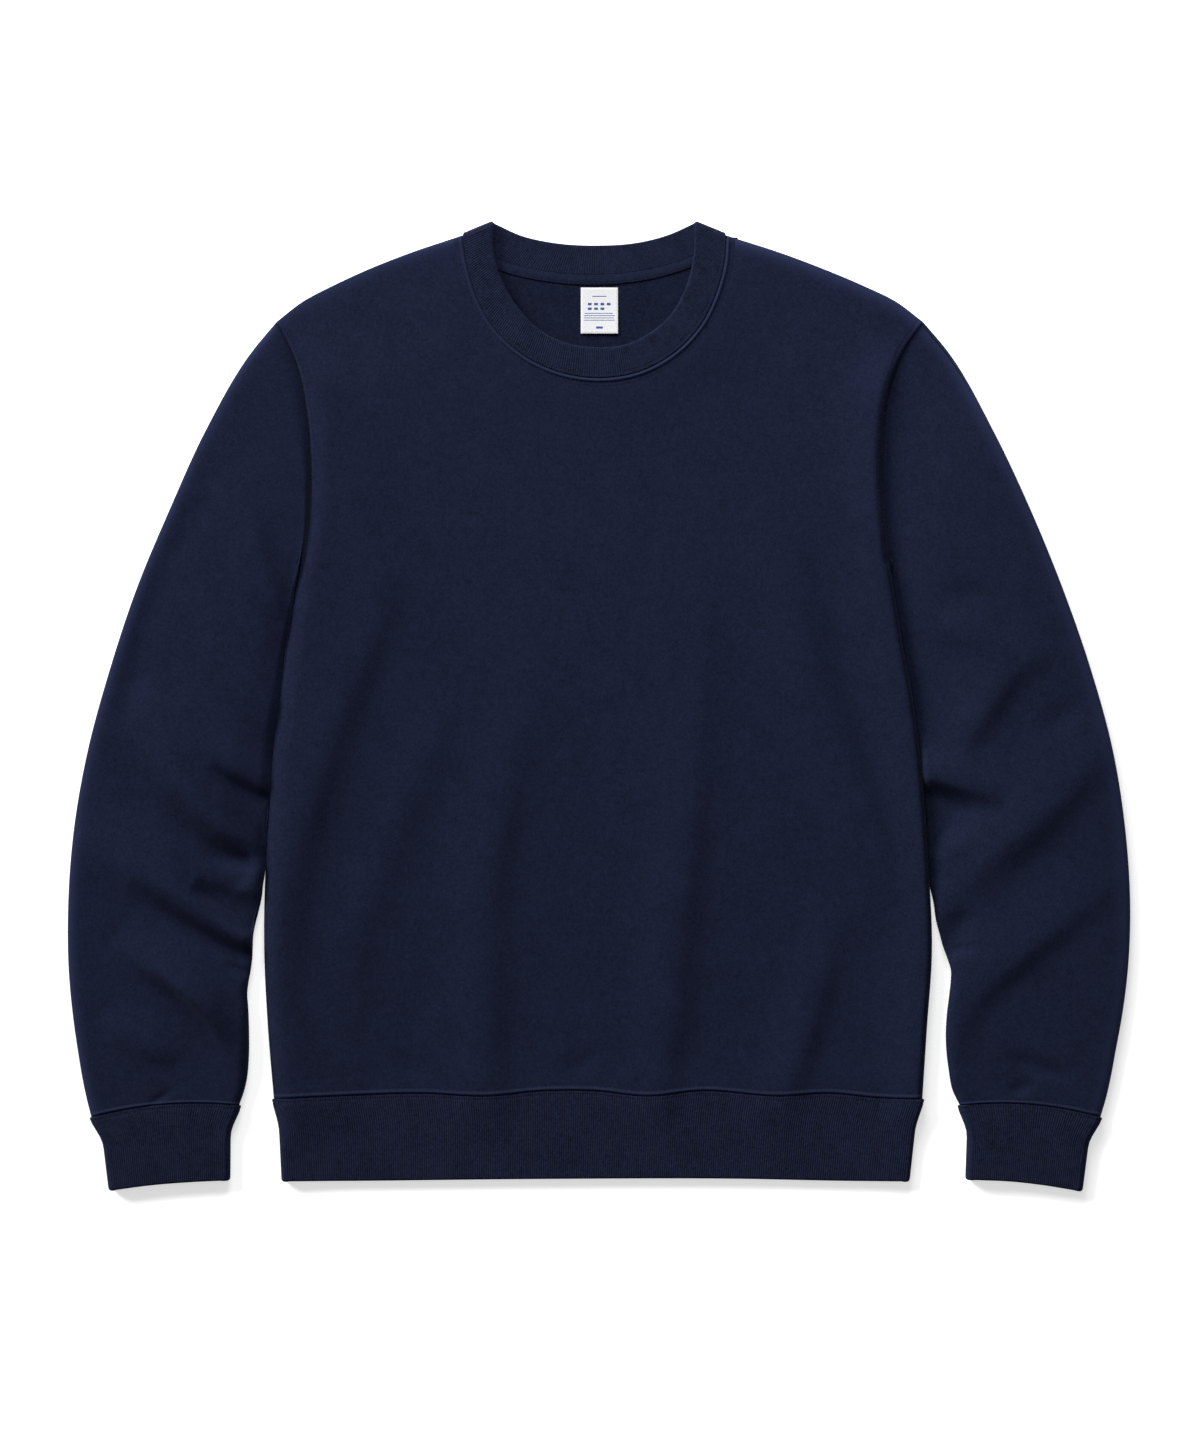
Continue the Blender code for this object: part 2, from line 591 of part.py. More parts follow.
def sleeve(side, name, cloth):
    """A set-in sleeve: rings from the armhole, turning to lie across the arm, to the cuff seam."""
    along = stations(length_of(sleeve_lines(side)[0]), (0.0,), SLEEVE_ROWS, EDGE_STEPS)
    over, under = FRONT.arm_steps(side), BACK.arm_steps(side)[-2:0:-1]
    across = np.concatenate([over, under])
    top = np.arange(len(across)) < len(over)
    plan, hole = sleeve_plan(side, along, across, over)

    far, near = plan[:, len(over) - 1], plan[:, 0]
    long = np.linalg.norm(far - near, axis=1)[:, None]
    long[0] = armhole(side, FINE)[2]
    from_end = np.minimum(across, 1 - across)[None] * long
    turn = roll(from_end, (EDGE_ROLL + SLEEVE_ROLL * ease(along / ROLL_FADE))[:, None])
    settle = ease(along / HEIGHT_FADE)[:, None]
    start = SIDE_SEAM_HEIGHT + (SHOULDER_SEAM_HEIGHT - SIDE_SEAM_HEIGHT) * across[None]
    drop = CUFF_FOLD_DROP * ease((along[:, None] - CUFF_DROP_FROM) / (1 - CUFF_DROP_FROM))
    seam = start + (SLEEVE_FOLD_HEIGHT - start) * settle - drop
    table = (RIGHT_SLEEVE_FOLDS, LEFT_SLEEVE_FOLDS)[side]
    crest = smooth(along, *np.array(SLEEVE_TOP).T)[:, None] + SLEEVE_DOME * 4 * across * (1 - across)
    crest = crest + folds(plan[..., 0], plan[..., 1], table)
    crest = front_height(hole)[None] * (1 - settle) + crest * settle
    height = np.where(top, seam + (crest - seam) * turn, seam * (1 - turn))
    height[0] += np.where(top, SEAM_GAP / 2, -SEAM_GAP / 2) * (from_end[0] > 0)
    bump = np.array([0.0, RIDGE, RIDGE, -SEAM_GAP])
    height[-len(bump) :] += bump[:, None] * (top * turn[-1])
    height = np.maximum(height, 0)

    outer = np.concatenate([plan, height[..., None]], axis=2)
    turns = normals(outer, ring=True)
    turns *= np.sign(turns[len(along) // 2, len(over) // 2, 2])
    turns[0] = armhole_turn_ring(side, over, under)
    inner = outer - FLEECE * turns
    piece = Piece()
    a, b = piece.grid(outer, ring=True), piece.grid(inner, ring=True)
    for end in (0, -1):
        piece.join(np.append(a[end], a[end][0]), np.append(b[end], b[end][0]))
    return piece.finish(name, cloth)


def armhole_turn_ring(side, over, under):
    """The wall's direction round the armhole: up over the front, down under the back."""
    front = armhole_turn(side, over)
    back = armhole_turn(side, under[::-1])[::-1]
    back[:, 2] *= -1
    return np.concatenate([front, back])


class Band:
    """A ribbed band: a flattened ring between a sewn edge and a turned one, on a middle surface.

    Each half runs between the same two folds. A station is a half and the way along it, and the band
    turns over at a fold in a half circle.
    """

    def __init__(self, front, back, height, crown=0.0):
        self.lines = {1: front, -1: back}
        self.high, self.low = height - RIB_CLOTH / 2, RIB_CLOTH / 2
        self.crown = crown

    def half(self, which, at, rows):
        """Points of one half's middle surface, at fractions `at` along it and `rows` across it."""
        sewn, turned = self.lines[which]
        a, b = on_line(sewn, at), on_line(turned, at)
        plan = a[None] + (b - a)[None] * np.array(rows)[:, None, None]
        long = (length_of(sewn) + length_of(turned)) / 2
        from_fold = np.minimum(at, 1 - at) * long
        level = self.high if which == 1 else self.low
        if which == 1:
            level = level + self.crown * np.exp(-((from_fold / HEM_CROWN_REACH) ** 2))
        centre = (self.high + self.crown + self.low) / 2
        reach = (self.high - self.low) / 2
        height = centre + (level - centre) * roll(from_fold, reach)
        height = np.broadcast_to(height, plan.shape[:2])
        return np.concatenate([plan, height[..., None]], axis=2)

    def ring(self, front_at, back_at, rows):
        """The whole middle surface: the front half, then the back half the other way."""
        front = self.half(1, front_at, rows)
        back = self.half(-1, back_at[::-1], rows)[:, 1:-1]
        return np.concatenate([front, back], axis=1)


def band_stations(sewn, long, reach, ribbed):
    """Stations along half a band: round its folds, and between them two a rib or the seam's own."""
    near = reach * (1 - np.cos(np.radians(BAND_TURNS)))
    if ribbed:
        return stations(long, near, 2 * round(long / RIB_PITCH))
    run = np.concatenate([[0], np.cumsum(np.linalg.norm(np.diff(sewn, axis=0), axis=1))])
    corners = run / run[-1]
    clear = (near[-1] + 1) / long
    corners = corners[(corners > clear) & (corners < 1 - clear)]
    return np.concatenate([near / long, corners, 1 - near[::-1] / long])


def ribbed_band(band, name, cloth, rib_front, rib_back_inside):
    """A band's wall: ribs raised in the points of the faces that show, a plain face behind them."""
    half_wall = np.array(BAND_WALL) * RIB_CLOTH
    reach = (band.high - band.low) / 2
    faces = []
    for outward, ribbed in ((1, rib_front), (-1, rib_back_inside)):
        at = {}
        for which in (1, -1):
            sewn, turned = band.lines[which]
            long = (length_of(sewn) + length_of(turned)) / 2
            at[which] = band_stations(sewn, long, reach, ribbed and which == outward)
        middle = band.ring(at[1], at[-1], BAND_ROWS)
        turns = normals(middle, ring=True)
        turns *= np.sign(turns[0, len(at[1]) // 2, 2])
        out = half_wall[:, None] * np.ones(middle.shape[:2])
        if ribbed:
            dense = np.arange(middle.shape[1])
            inside = (dense < len(at[1])) if outward == 1 else (dense >= len(at[1]))
            wave = np.where(dense % 2 == 0, RIB_RISE, -RIB_RISE) * inside
            out = out + wave[None] * np.array([1.0, 1.0, 0.5])[:, None]
        points = middle + outward * out[..., None] * turns
        place = np.concatenate([at[1], 2 - at[-1][::-1][1:-1], [2.0]])
        faces.append((points, place))
    piece = Piece()
    (outer, at_outer), (inner, at_inner) = faces
    a, b = piece.grid(outer, ring=True), piece.grid(inner, ring=True)
    for end in (0, -1):
        piece.zip(np.append(a[end], a[end][0]), at_outer, np.append(b[end], b[end][0]), at_inner)
    return piece.finish(name, cloth)


def collar_rib(cloth):
    """The crew collar: its front half lies on the front panel's level, its back half on the surface."""
    front, back = moved(FRONT.neck_line(), -SEAM_GAP), moved(BACK.neck_line(), -SEAM_GAP)
    free = through(FRONT_COLLAR_EDGE, FINE), through(BACK_COLLAR_EDGE, FINE)
    for end in (0, -1):
        fold = (front[end] + back[end]) / 2
        outward = free[0][end] - fold
        front[end] = back[end] = fold + outward * COLLAR_FOLD_CLEAR / np.linalg.norm(outward)
    band = Band((front, free[0]), (back, free[1]), COLLAR_HEIGHT)
    return ribbed_band(band, "collar_rib", cloth, True, True)


def hem_rib(cloth):
    """The bottom band: its back half lies on the surface and its ends are folded at the sides."""
    turned = through(HEM_EDGE, FINE)
    halves = [(moved(cut.hem_line(), HEM_CLEAR), turned) for cut in (FRONT, BACK)]
    band = Band(*halves, HEM_HEIGHT, HEM_CROWN)
    return ribbed_band(band, "hem_rib", cloth, True, False)


def cuff(side, name, cloth):
    """A cuff: a flattened ring below the sleeve's end."""
    turned = through((RIGHT_CUFF_EDGE, LEFT_CUFF_EDGE)[side], FINE)
    away = (-SEAM_GAP, SEAM_GAP)[side]
    halves = [(moved(cuff_seam(side, cut.arm_steps(side)), away), turned) for cut in (FRONT, BACK)]
    band = Band(*halves, CUFF_HEIGHT)
    return ribbed_band(band, name, cloth, True, False)


def lying(plan, low, thick, name, cloth):
    """A thin strip on the back panel's inner face: a grid and the same grid moved up."""
    low = np.broadcast_to(low, plan.shape[:2])
    bottom = np.concatenate([plan, low[..., None]], axis=2)
    return panel(bottom + (0, 0, thick), bottom, name, cloth)


def neck_tape(cloth):
    """The tape over the back neck seam, from one side of the neck to the other."""
    upper = moved(through(BACK_NECK, np.linspace(*TAPE_SPAN, 17)), TAPE_BELOW_SEAM)
    rows = np.linspace(0, 1, 3)[:, None, None]
    plan = upper[None] * (1 - rows) + moved(upper, TAPE_WIDTH)[None] * rows
    return lying(plan, FLEECE + SEAM_GAP, TAPE_CLOTH, "neck_tape", cloth)


def care_label(cloth):
    """The label under the middle of the tape, its lower end a little raised."""
    x, t = np.meshgrid(LABEL_CENTRE_X + np.linspace(-0.5, 0.5, 5) * LABEL_WIDE, np.linspace(0, 1, 5))
    plan = np.stack([x, LABEL_TOP_Y - LABEL_TALL * t], axis=-1)
    return lying(plan, FLEECE + SEAM_GAP + LABEL_LIFT * t**2, LABEL_CLOTH, "care_label", cloth)


def cloth_material(name, colour, roughness):
    """A plain cloth."""
    cloth = bpy.data.materials.new(name)
    cloth.use_nodes = True
    surface = cloth.node_tree.nodes["Principled BSDF"]
    surface.inputs["Base Color"].default_value = (*colour, 1.0)
    surface.inputs["Roughness"].default_value = roughness
    surface.inputs["Metallic"].default_value = 0.0
    cloth.diffuse_color = (*colour, 1.0)
    return cloth


def main():
    for thing in list(bpy.data.objects):
        bpy.data.objects.remove(thing)
    fleece = cloth_material("fleece", NAVY, 0.9)
    rib = cloth_material("rib", NAVY_RIB, 0.9)
    label = cloth_material("label", LABEL_WHITE, 0.7)
    body_panel(FRONT, "front_panel", fleece)
    body_panel(BACK, "back_panel", fleece)
    sleeve(0, "sleeve_right", fleece)
    sleeve(1, "sleeve_left", fleece)
    collar_rib(rib)
    hem_rib(rib)
    cuff(0, "cuff_right", rib)
    cuff(1, "cuff_left", rib)
    neck_tape(fleece)
    care_label(label)


main()
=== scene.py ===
"""The looks of a crewneck sweatshirt laid flat on its back: fleece, true ribs, seams and stitches.

Shapes are worked out in millimetres, with X across the garment, Y from hem to neck and Z up.
Sides are the wearer's, so the right sleeve is at -X.
"""

import math
from types import SimpleNamespace

import bmesh
import bpy
import numpy as np
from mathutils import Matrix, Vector


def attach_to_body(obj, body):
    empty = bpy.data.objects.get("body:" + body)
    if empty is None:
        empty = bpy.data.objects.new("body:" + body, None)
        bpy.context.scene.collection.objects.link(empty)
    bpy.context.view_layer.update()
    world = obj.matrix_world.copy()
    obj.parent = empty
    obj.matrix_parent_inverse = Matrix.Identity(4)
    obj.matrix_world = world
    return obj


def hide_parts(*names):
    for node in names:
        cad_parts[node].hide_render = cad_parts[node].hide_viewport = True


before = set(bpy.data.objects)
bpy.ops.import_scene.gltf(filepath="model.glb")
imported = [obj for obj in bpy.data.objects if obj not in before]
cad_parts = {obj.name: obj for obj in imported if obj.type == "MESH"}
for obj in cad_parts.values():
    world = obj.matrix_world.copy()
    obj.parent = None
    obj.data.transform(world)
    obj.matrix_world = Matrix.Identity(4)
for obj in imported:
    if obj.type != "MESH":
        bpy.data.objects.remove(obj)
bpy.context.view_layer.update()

bl_info = {
    "name": "Crewneck Sweatshirt",
    "version": (1, 0, 0),
    "blender": (4, 5, 0),
    "location": "3D Viewport > Sidebar > Sweatshirt",
    "description": "Fleece panels, ribbed bands, seams and stitching of a sweatshirt laid flat",
    "category": "Object",
}

METRES = 0.001
OUTWARD = (-1.0, 1.0)  # the way along X out of the right side and the left one
BODY = "root"
SHARP_ANGLE = math.radians(55)  # faces that meet at less than this are shaded smooth
LEAST_ROOM, LEAST_SQUARE = 0.05, 1e-9  # so that nothing is divided by less

# ---------------------------------------------------------------- the cut, in millimetres

# y, and x at the body's right and left edges: side seams up to UNDERARM_Y and armholes above it
BODY_EDGE = (
    (-306, -253.5, 252.5), (-252, -258, 256), (-190, -261, 260), (-127, -260, 257.5),
    (-73, -256.5, 253.8), (-34, -254, 250.2), (8, -248.5, 244.5), (47, -244, 237.2),
    (79, -239.5, 232), (114, -233, 226.5), (139, -227.5, 224), (171, -225, 221.5),
    (200, -225.3, 221.5), (233, -228.5, 224), (257.5, -233, 230), (280, -241, 239.5),
    (300, -251.5, 253),
)
UNDERARM_Y, SHOULDER_Y = 114.0, 300.0

# x, y along each line, from the wearer's right to left
RIGHT_SHOULDER = (
    (-251.5, 300), (-231.5, 315.5), (-208, 328), (-181, 340.5), (-149.5, 353), (-106.5, 367.5),
)
LEFT_SHOULDER = (
    (99.5, 367.5), (144.5, 353), (177.5, 340.5), (207, 328), (232.5, 315.5), (253, 300),
)
FRONT_NECK = (
    (-106.5, 367.5), (-102.5, 344), (-95, 319), (-82.5, 296), (-63.5, 277), (-38, 263), (-2, 256),
    (32, 261), (60, 276.5), (80, 298), (92.5, 324.5), (98, 346), (99.5, 367.5),
)
BACK_NECK = (
    (-106.5, 367.5), (-94, 356), (-74, 347), (-40, 339), (-2, 336.5), (35, 340), (69, 349.5),
    (88, 358), (99.5, 367.5),
)
FRONT_COLLAR_EDGE = (
    (-82.3, 377.5), (-81, 350), (-75, 331), (-63.5, 312), (-44.5, 292.5), (-20, 282), (0, 280),
    (20, 282), (41.5, 292.5), (56.5, 306), (67.5, 326), (73.5, 348), (75, 377.5),
)
BACK_COLLAR_EDGE = (
    (-82.3, 377.5), (-60, 367.5), (-35, 362), (0, 360), (29, 362), (55, 368.5), (75, 377.5),
)
HEM_SEAM = (
    (-253.5, -306), (-230, -305), (-192, -303.5), (-140, -302), (-88.5, -304), (-40, -300),
    (-5, -300), (37.5, -304), (80, -300), (139, -304), (180, -302), (218, -305.5), (252.5, -306),
)
HEM_EDGE = (
    (-246, -370.5), (-200, -370.3), (-50, -368.8), (110, -368.6), (200, -370.3), (241, -370.5),
)

# each sleeve's outer edge from shoulder to cuff, and its inner edge from where it leaves the body
SLEEVE_OUTER = (
    (
        (-251.5, 300), (-270.5, 277), (-306.5, 215.5), (-335, 153), (-361, 90.5), (-381.5, 28.5),
        (-398.5, -34), (-409.5, -96.5), (-414, -159), (-413.5, -205), (-410, -243), (-406.3, -269),
        (-402.9, -290), (-399.6, -306), (-396, -320.5),
    ),
    (
        (253, 300), (271.5, 278), (307.5, 215.5), (337, 153), (362.5, 90.5), (384, 28.5),
        (401, -34), (410.8, -96.5), (414.6, -159), (412.8, -205), (408, -243), (403.2, -269),
        (399.4, -290), (395.8, -306), (391.5, -320.5),
    ),
)
SLEEVE_INNER = (
    (
        (-261.4, -137), (-262.8, -149), (-265, -159), (-267.4, -168.3), (-269.3, -177.6),
        (-269.8, -187), (-270.2, -196.4), (-271.4, -205.7), (-273.1, -215), (-274.1, -224.4),
        (-273.4, -234), (-272.7, -252.5), (-272.6, -265), (-273, -277), (-274.3, -290),
        (-276.4, -299.3), (-280.5, -311),
    ),
    (
        (261, -152), (263.4, -168.3), (265.9, -177.6), (268.4, -187), (271.8, -196.4),
        (274.6, -205.7), (274.4, -215), (273.4, -224.4), (271.4, -241), (270.6, -255),
        (271.2, -270), (272.8, -283), (275.9, -299.3), (281.5, -311),
    ),
)
SLEEVE_LEAVES_Y = (-131.0, -141.0)  # where each sleeve's inner edge leaves the body
SLEEVE_STAYS_LOW = (0.0, 60.0)  # and how far past it that edge stays low
CUFF_EDGE = (
    ((-289, -369.5), (-319, -371), (-350, -373.5), (-381, -377.5)),
    ((287.5, -369), (321, -370.5), (348, -373.5), (376, -378)),
)

# how far along a sleeve, and the height of its top there
SLEEVE_TOP = ((0, 8), (0.1, 8.4), (0.25, 9), (0.5, 9.6), (0.75, 10), (0.92, 10.2), (1, 10))

# soft folds, each a line of x, y, rise, and half widths to the left and right of the way along it
BODY_FOLDS = (
    (
        (-166, 128, 0, 16, 26), (-168, 94, 1.2, 16, 26), (-176, 60, 2.2, 16, 26),
        (-196, 10, 3.1, 17, 26), (-214, -42, 3.4, 18, 26), (-228, -80, 3.5, 18, 22),
        (-240, -122, 3.3, 19, 16), (-247, -160, 2.8, 20, 14), (-250, -204, 2, 20, 12),
        (-246, -262, 1.1, 16, 12), (-240, -306, 0.6, 14, 12),
    ),
    (
        (-146, 110, 0, 12, 12), (-164, 46, -0.7, 14, 12), (-196, -36, -1, 16, 12),
        (-214, -110, -1, 16, 12), (-224, -190, -0.7, 14, 12), (-222, -270, 0, 12, 12),
    ),
    (
        (-108, 36, 0, 18, 20), (-118, -6, 1, 17, 20), (-136, -42, 1.9, 16, 20),
        (-152, -78, 2.2, 16, 20), (-162, -108, 1.8, 16, 20), (-178, -148, 2.1, 16, 20),
        (-190, -192, 1.7, 16, 20), (-192, -226, 0.9, 14, 18), (-190, -262, 0, 14, 18),
    ),
    (
        (-44, 100, 0, 20, 28), (-50, 52, 0.5, 20, 28), (-58, 4, 1.4, 19, 28),
        (-68, -46, 2.6, 17, 28), (-79, -96, 3.8, 16, 28), (-86, -140, 4.2, 17, 28),
        (-88, -186, 3.8, 19, 28), (-88, -226, 3.9, 17, 26), (-87, -266, 3.6, 15, 24),
        (-86, -306, 1.8, 14, 24),
    ),
    (
        (72, 150, 0, 18, 24), (76, 96, 0.8, 17, 26), (78, 20, 1.5, 16, 28), (75, -40, 2.2, 15, 28),
        (71, -89, 3.4, 14, 28), (68, -124, 4.2, 14, 28), (63, -164, 4.3, 16, 28),
        (59, -206, 4, 16, 26), (56, -246, 3.9, 15, 26), (51, -278, 3.2, 14, 24),
        (47, -308, 1.8, 14, 24),
    ),
    (
        (142, 170, 0, 16, 26), (148, 122, 1.1, 16, 28), (154, 80, 2.4, 16, 30),
        (162, 38, 3.5, 15, 30), (176, 0, 4, 15, 30), (190, -38, 4, 15, 30), (204, -74, 3.6, 15, 30),
        (214, -112, 2.9, 16, 28), (218, -148, 1.8, 16, 26), (216, -190, 0, 14, 24),
    ),
    (
        (176, 100, 0, 16, 10), (190, 36, -1, 18, 10), (210, -30, -1.2, 18, 10),
        (232, -100, -1, 14, 10), (240, -160, 0, 12, 10),
    ),
    (
        (192, -130, 0, 14, 22), (184, -172, 1.2, 14, 22), (173, -210, 2.9, 13, 22),
        (164, -244, 3.7, 13, 22), (155, -274, 3.4, 13, 22), (144, -308, 1.7, 13, 22),
    ),
    ((-160, -268, 0, 7, 7), (-145, -283, -1.2, 8, 8), (-130, -294, -0.4, 7, 7)),
    ((-34, -290, 0, 8, 7), (-16, -281, -1.2, 9, 8), (8, -264, 0, 8, 7)),
    ((90, -226, 0, 9, 9), (107, -242, -0.9, 11, 11), (122, -256, 0, 9, 9)),
    ((-128, -180, 0, 14, 14), (-140, -236, -0.9, 14, 14), (-146, -270, 0, 12, 12)),
)
RIGHT_SLEEVE_FOLDS = (
    (
        (-292, 200, 0, 10, 10), (-312, 156, -1.3, 11, 9), (-340, 98, -1.6, 11, 9),
        (-358, 44, -1.6, 11, 9), (-367, 4, -2.1, 10, 9), (-372, -24, 0, 10, 9),
    ),
    (
        (-280, 190, 0, 14, 22), (-270, 142, 2.9, 12, 24), (-264, 112, 4.4, 11, 24),
        (-254, 88, 4.2, 9, 22), (-245, 66, 2.1, 8, 18),
    ),
    (
        (-312, 100, 0, 16, 15), (-301, 68, 2.6, 16, 17), (-292, 46, 3.2, 16, 20),
        (-283, 28, 3.4, 15, 22), (-271, 14, 3.8, 14, 22), (-259, 2, 4.4, 12, 22),
        (-249, -6, 4.4, 11, 22),
    ),
    (
        (-334, 12, 0, 18, 17), (-315, -16, 2.4, 18, 17), (-297, -34, 4.2, 17, 17),
        (-279, -48, 4.8, 16, 17), (-263, -58, 4.6, 14, 17), (-250, -66, 3.6, 12, 17),
    ),
    (
        (-304, -46, 0, 6, 6), (-292, -55, -3, 6, 7), (-278, -66, -6, 7, 8), (-262, -78, -8, 8, 9),
        (-250, -88, -8, 9, 10),
    ),
    (
        (-360, 22, 0, 26, 20), (-348, -16, 5.4, 26, 17), (-335, -44, 8.6, 24, 15),
        (-321, -66, 10.2, 22, 13), (-307, -83, 10.2, 19, 13), (-292, -96, 9, 15, 13),
        (-277, -105, 6, 11, 12), (-265, -112, 2.6, 8, 9), (-256, -118, 0.8, 8, 6),
    ),
    (
        (-334, -66, 0, 7, 8), (-322, -86, -2.1, 6, 8), (-306, -104, -3.9, 6, 8),
        (-290, -117, -6, 6, 8), (-276, -121, -2.6, 5, 6),
    ),
    (
        (-262, -114, 0.5, 14, 7), (-266, -128, 2, 14, 6), (-273, -141, 2.8, 14, 6),
        (-283, -147, 2.4, 14, 6), (-296, -141, 1.2, 10, 6), (-306, -133, 0, 8, 5),
    ),
    (
        (-316, -140, 0, 8, 5), (-305, -146, -6, 10, 4), (-294, -154, -14, 12, 3),
        (-284, -162, -18, 13, 3), (-273, -171, -18, 13, 3), (-262, -179, -18, 13, 3),
    ),
    (
        (-408, -92, 0, 26, 16), (-388, -106, 2.8, 26, 17), (-369, -118, 5.4, 25, 17),
        (-350, -131, 7.8, 23, 16), (-330, -145, 8.8, 16, 15), (-312, -157, 8.2, 8, 14),
        (-294, -169, 7, 4, 12), (-278, -179.5, 5.8, 4, 10), (-264, -188, 3.8, 4, 9),
    ),
    (
        (-366, -138, 0, 5, 8), (-346, -153, -2.3, 5, 9), (-326, -167, -3.4, 5, 10),
        (-306, -179, -3.9, 5, 10), (-288, -189, -4.4, 5, 9), (-270, -196, -3.9, 5, 8),
    ),
    ((-292, -199, 0, 3, 4), (-284, -203, -2.1, 3, 4), (-270, -209, -2.9, 3, 4)),
    (
        (-378, -180, 0, 24, 12), (-353, -198, 5.2, 24, 10), (-331, -214, 10, 21, 8),
        (-312, -231, 11.4, 18, 7), (-298, -247, 8, 15, 7), (-286, -266, 2.6, 12, 8),
        (-279, -284, 0, 10, 8),
    ),
    (
        (-271, -226, 0, 8, 14), (-271, -248, 1.8, 8, 14), (-272, -274, 2, 8, 14),
        (-277, -300, 0, 8, 14),
    ),
    (
        (-386, -238, 0, 17, 12), (-366, -255, 2.6, 15, 10), (-347, -268, 3.2, 13, 9),
        (-330, -280, 0, 12, 8),
    ),
    ((-353, -312, 0, 3, 3), (-342, -305.5, -1.6, 3, 3), (-331, -299, 0, 3, 3)),
)
LEFT_SLEEVE_FOLDS = (
    ((266, 90, 0, 10, 10), (290, 86, -1.5, 10, 9), (318, 80, 0, 10, 9)),
    ((262, 72, 0, 14, 12), (284, 58, 2.6, 15, 12), (306, 46, 2.2, 14, 12), (326, 34, 0, 12, 10)),
    (
        (358, 54, 0, 13, 22), (341, 42, 2, 13, 22), (322, 27, 3.4, 12, 22), (308, 8, 4.1, 12, 22),
        (298, -8, 3.9, 12, 20), (289, -21, 2.8, 12, 18), (276, -35, 0, 12, 16),
    ),
    ((384, 8, 0, 9, 9), (362, -6, -1.6, 10, 9), (342, -24, 0, 9, 9)),
    (
        (228, -50, 9, 28, 9), (246, -52.5, 9.4, 28, 9), (262, -56, 9.2, 26, 9),
        (278, -60.5, 8, 24, 9), (296, -66, 5, 20, 9), (318, -74, 0, 16, 8),
    ),
    (
        (228, -50, 1, 14, 30), (250, -53, 1, 14, 28), (272, -59, 1, 14, 24),
        (296, -66, 0.6, 12, 16), (312, -72, 0, 10, 10),
    ),
    (
        (228, -70, -5, 9, 40), (246, -73, -5, 9, 40), (262, -77, -4, 9, 36), (278, -80, -2, 8, 30),
        (298, -84, 0, 6, 24),
    ),
    ((254, -124, 0, 8, 8), (266, -119, 1.4, 8, 8), (280, -109, 1.2, 8, 8), (294, -98, 0, 8, 8)),
    (
        (398, -16, 0, 16, 30), (384, -38, 2, 16, 32), (371, -56, 3.9, 16, 34),
        (355, -74, 5, 17, 34), (339, -89, 5.8, 17, 34), (321, -104, 6.2, 18, 34),
        (303, -118, 6, 20, 34), (286, -133, 5, 21, 32), (272, -146, 3.4, 20, 26),
        (260, -156, 1.6, 16, 18),
    ),
    ((291, -160, 0, 8, 8), (280, -173, -4.4, 10, 10), (270, -190, -5, 10, 10)),
    ((276, -190, -1.2, 4, 4), (286, -189, -1.5, 4, 4), (294, -186, 0, 4, 4)),
    (
        (406, -124, 0, 13, 28), (384, -146, 1.8, 13, 30), (367, -162, 3, 13, 32),
        (349, -176, 3.8, 13, 32), (332, -190, 4.3, 13, 32), (315, -204, 4.2, 13, 30),
        (299, -219, 3.6, 13, 26), (288, -236, 2.6, 12, 20), (279, -258, 1.2, 11, 14),
        (273, -280, 0, 10, 10),
    ),
    ((318, -270, 0, 5, 5), (332, -277, -2, 6, 6), (352, -285, -2.4, 6, 6), (372, -291, 0, 6, 5)),
    ((318, -300, 0, 4, 4), (328, -297.5, -1.5, 5, 5), (342, -295, 0, 4, 4)),
)
SLEEVE_FOLDS = (RIGHT_SLEEVE_FOLDS, LEFT_SLEEVE_FOLDS)

# ---------------------------------------------------------------- heights and reaches

# in millimetres where nothing else is said: the body
BODY_HEIGHT = 5.6
SIDE_SEAM_HEIGHT, SHOULDER_SEAM_HEIGHT = 5.4, 4.5
EDGE_ROLL = 6.0  # radius of the quarter circle at a folded edge
SIDE_PULL = 7  # power with which a side's bow fades into the panel
SIDE_RISES = ((5.4, 66.0), (7.0, 26.0))  # along each side of the body: rise and half width
SIDE_ROLLS = ((6.6, 15.0), (7.0, 7.0))  # how far its last part rolls down, over what distance
SHOULDER_FADE = 60.0  # both fade over this below the shoulder
NECK_RISE, NECK_FADE = 2.4, 34.0
NECK_SINK, NECK_SINK_WIDTH = 1.6, 3.2  # how far the front's edge dips under the neck ridge
HEM_RISE, HEM_FADE = 1.5, 22.0
INNER_CLEAR = EDGE_ROLL * 1.5  # the inner face keeps to its side of the seam's level this far in

# the cloth over a sewn edge, by the distance from it
ALLOWANCE, ALLOWANCE_WIDTH = 1.9, 1.35  # where the cloth is highest over the seam allowance
SEAM_SINK, SEAM_SINK_REACH = 1.1, 1.2  # how far it rolls in at the seam, over what distance
STITCH_GROOVE, STITCH_GROOVE_WIDTH = 0.30, 0.5
SEAM_WEAR_AND_HIGHLIGHT, SEAM_WEAR_AND_HIGHLIGHT_WIDTH = 1.5, 1.3  # where its nap is most worn and a painted highlight lies on its crest
RIM_HIGHLIGHTS, RIM_WIDTH = (1.0, 1.9), 7.0  # a painted highlight along a garment's folded edges, on the right and left sides, and its width
ARM_RIDGES = (0.5, 0.1)  # share of the seam ridge, its worn nap and its painted highlight along each armhole
RIDGE_LIFT, RIDGE_THICK = 0.08, 1.2  # the neck ridge over the front, and its wall
RIDGE_DROP, RIDGE_DROP_FROM, RIDGE_DROP_OVER = 0.5, 6.0, 3.0  # how its far edge goes into the front

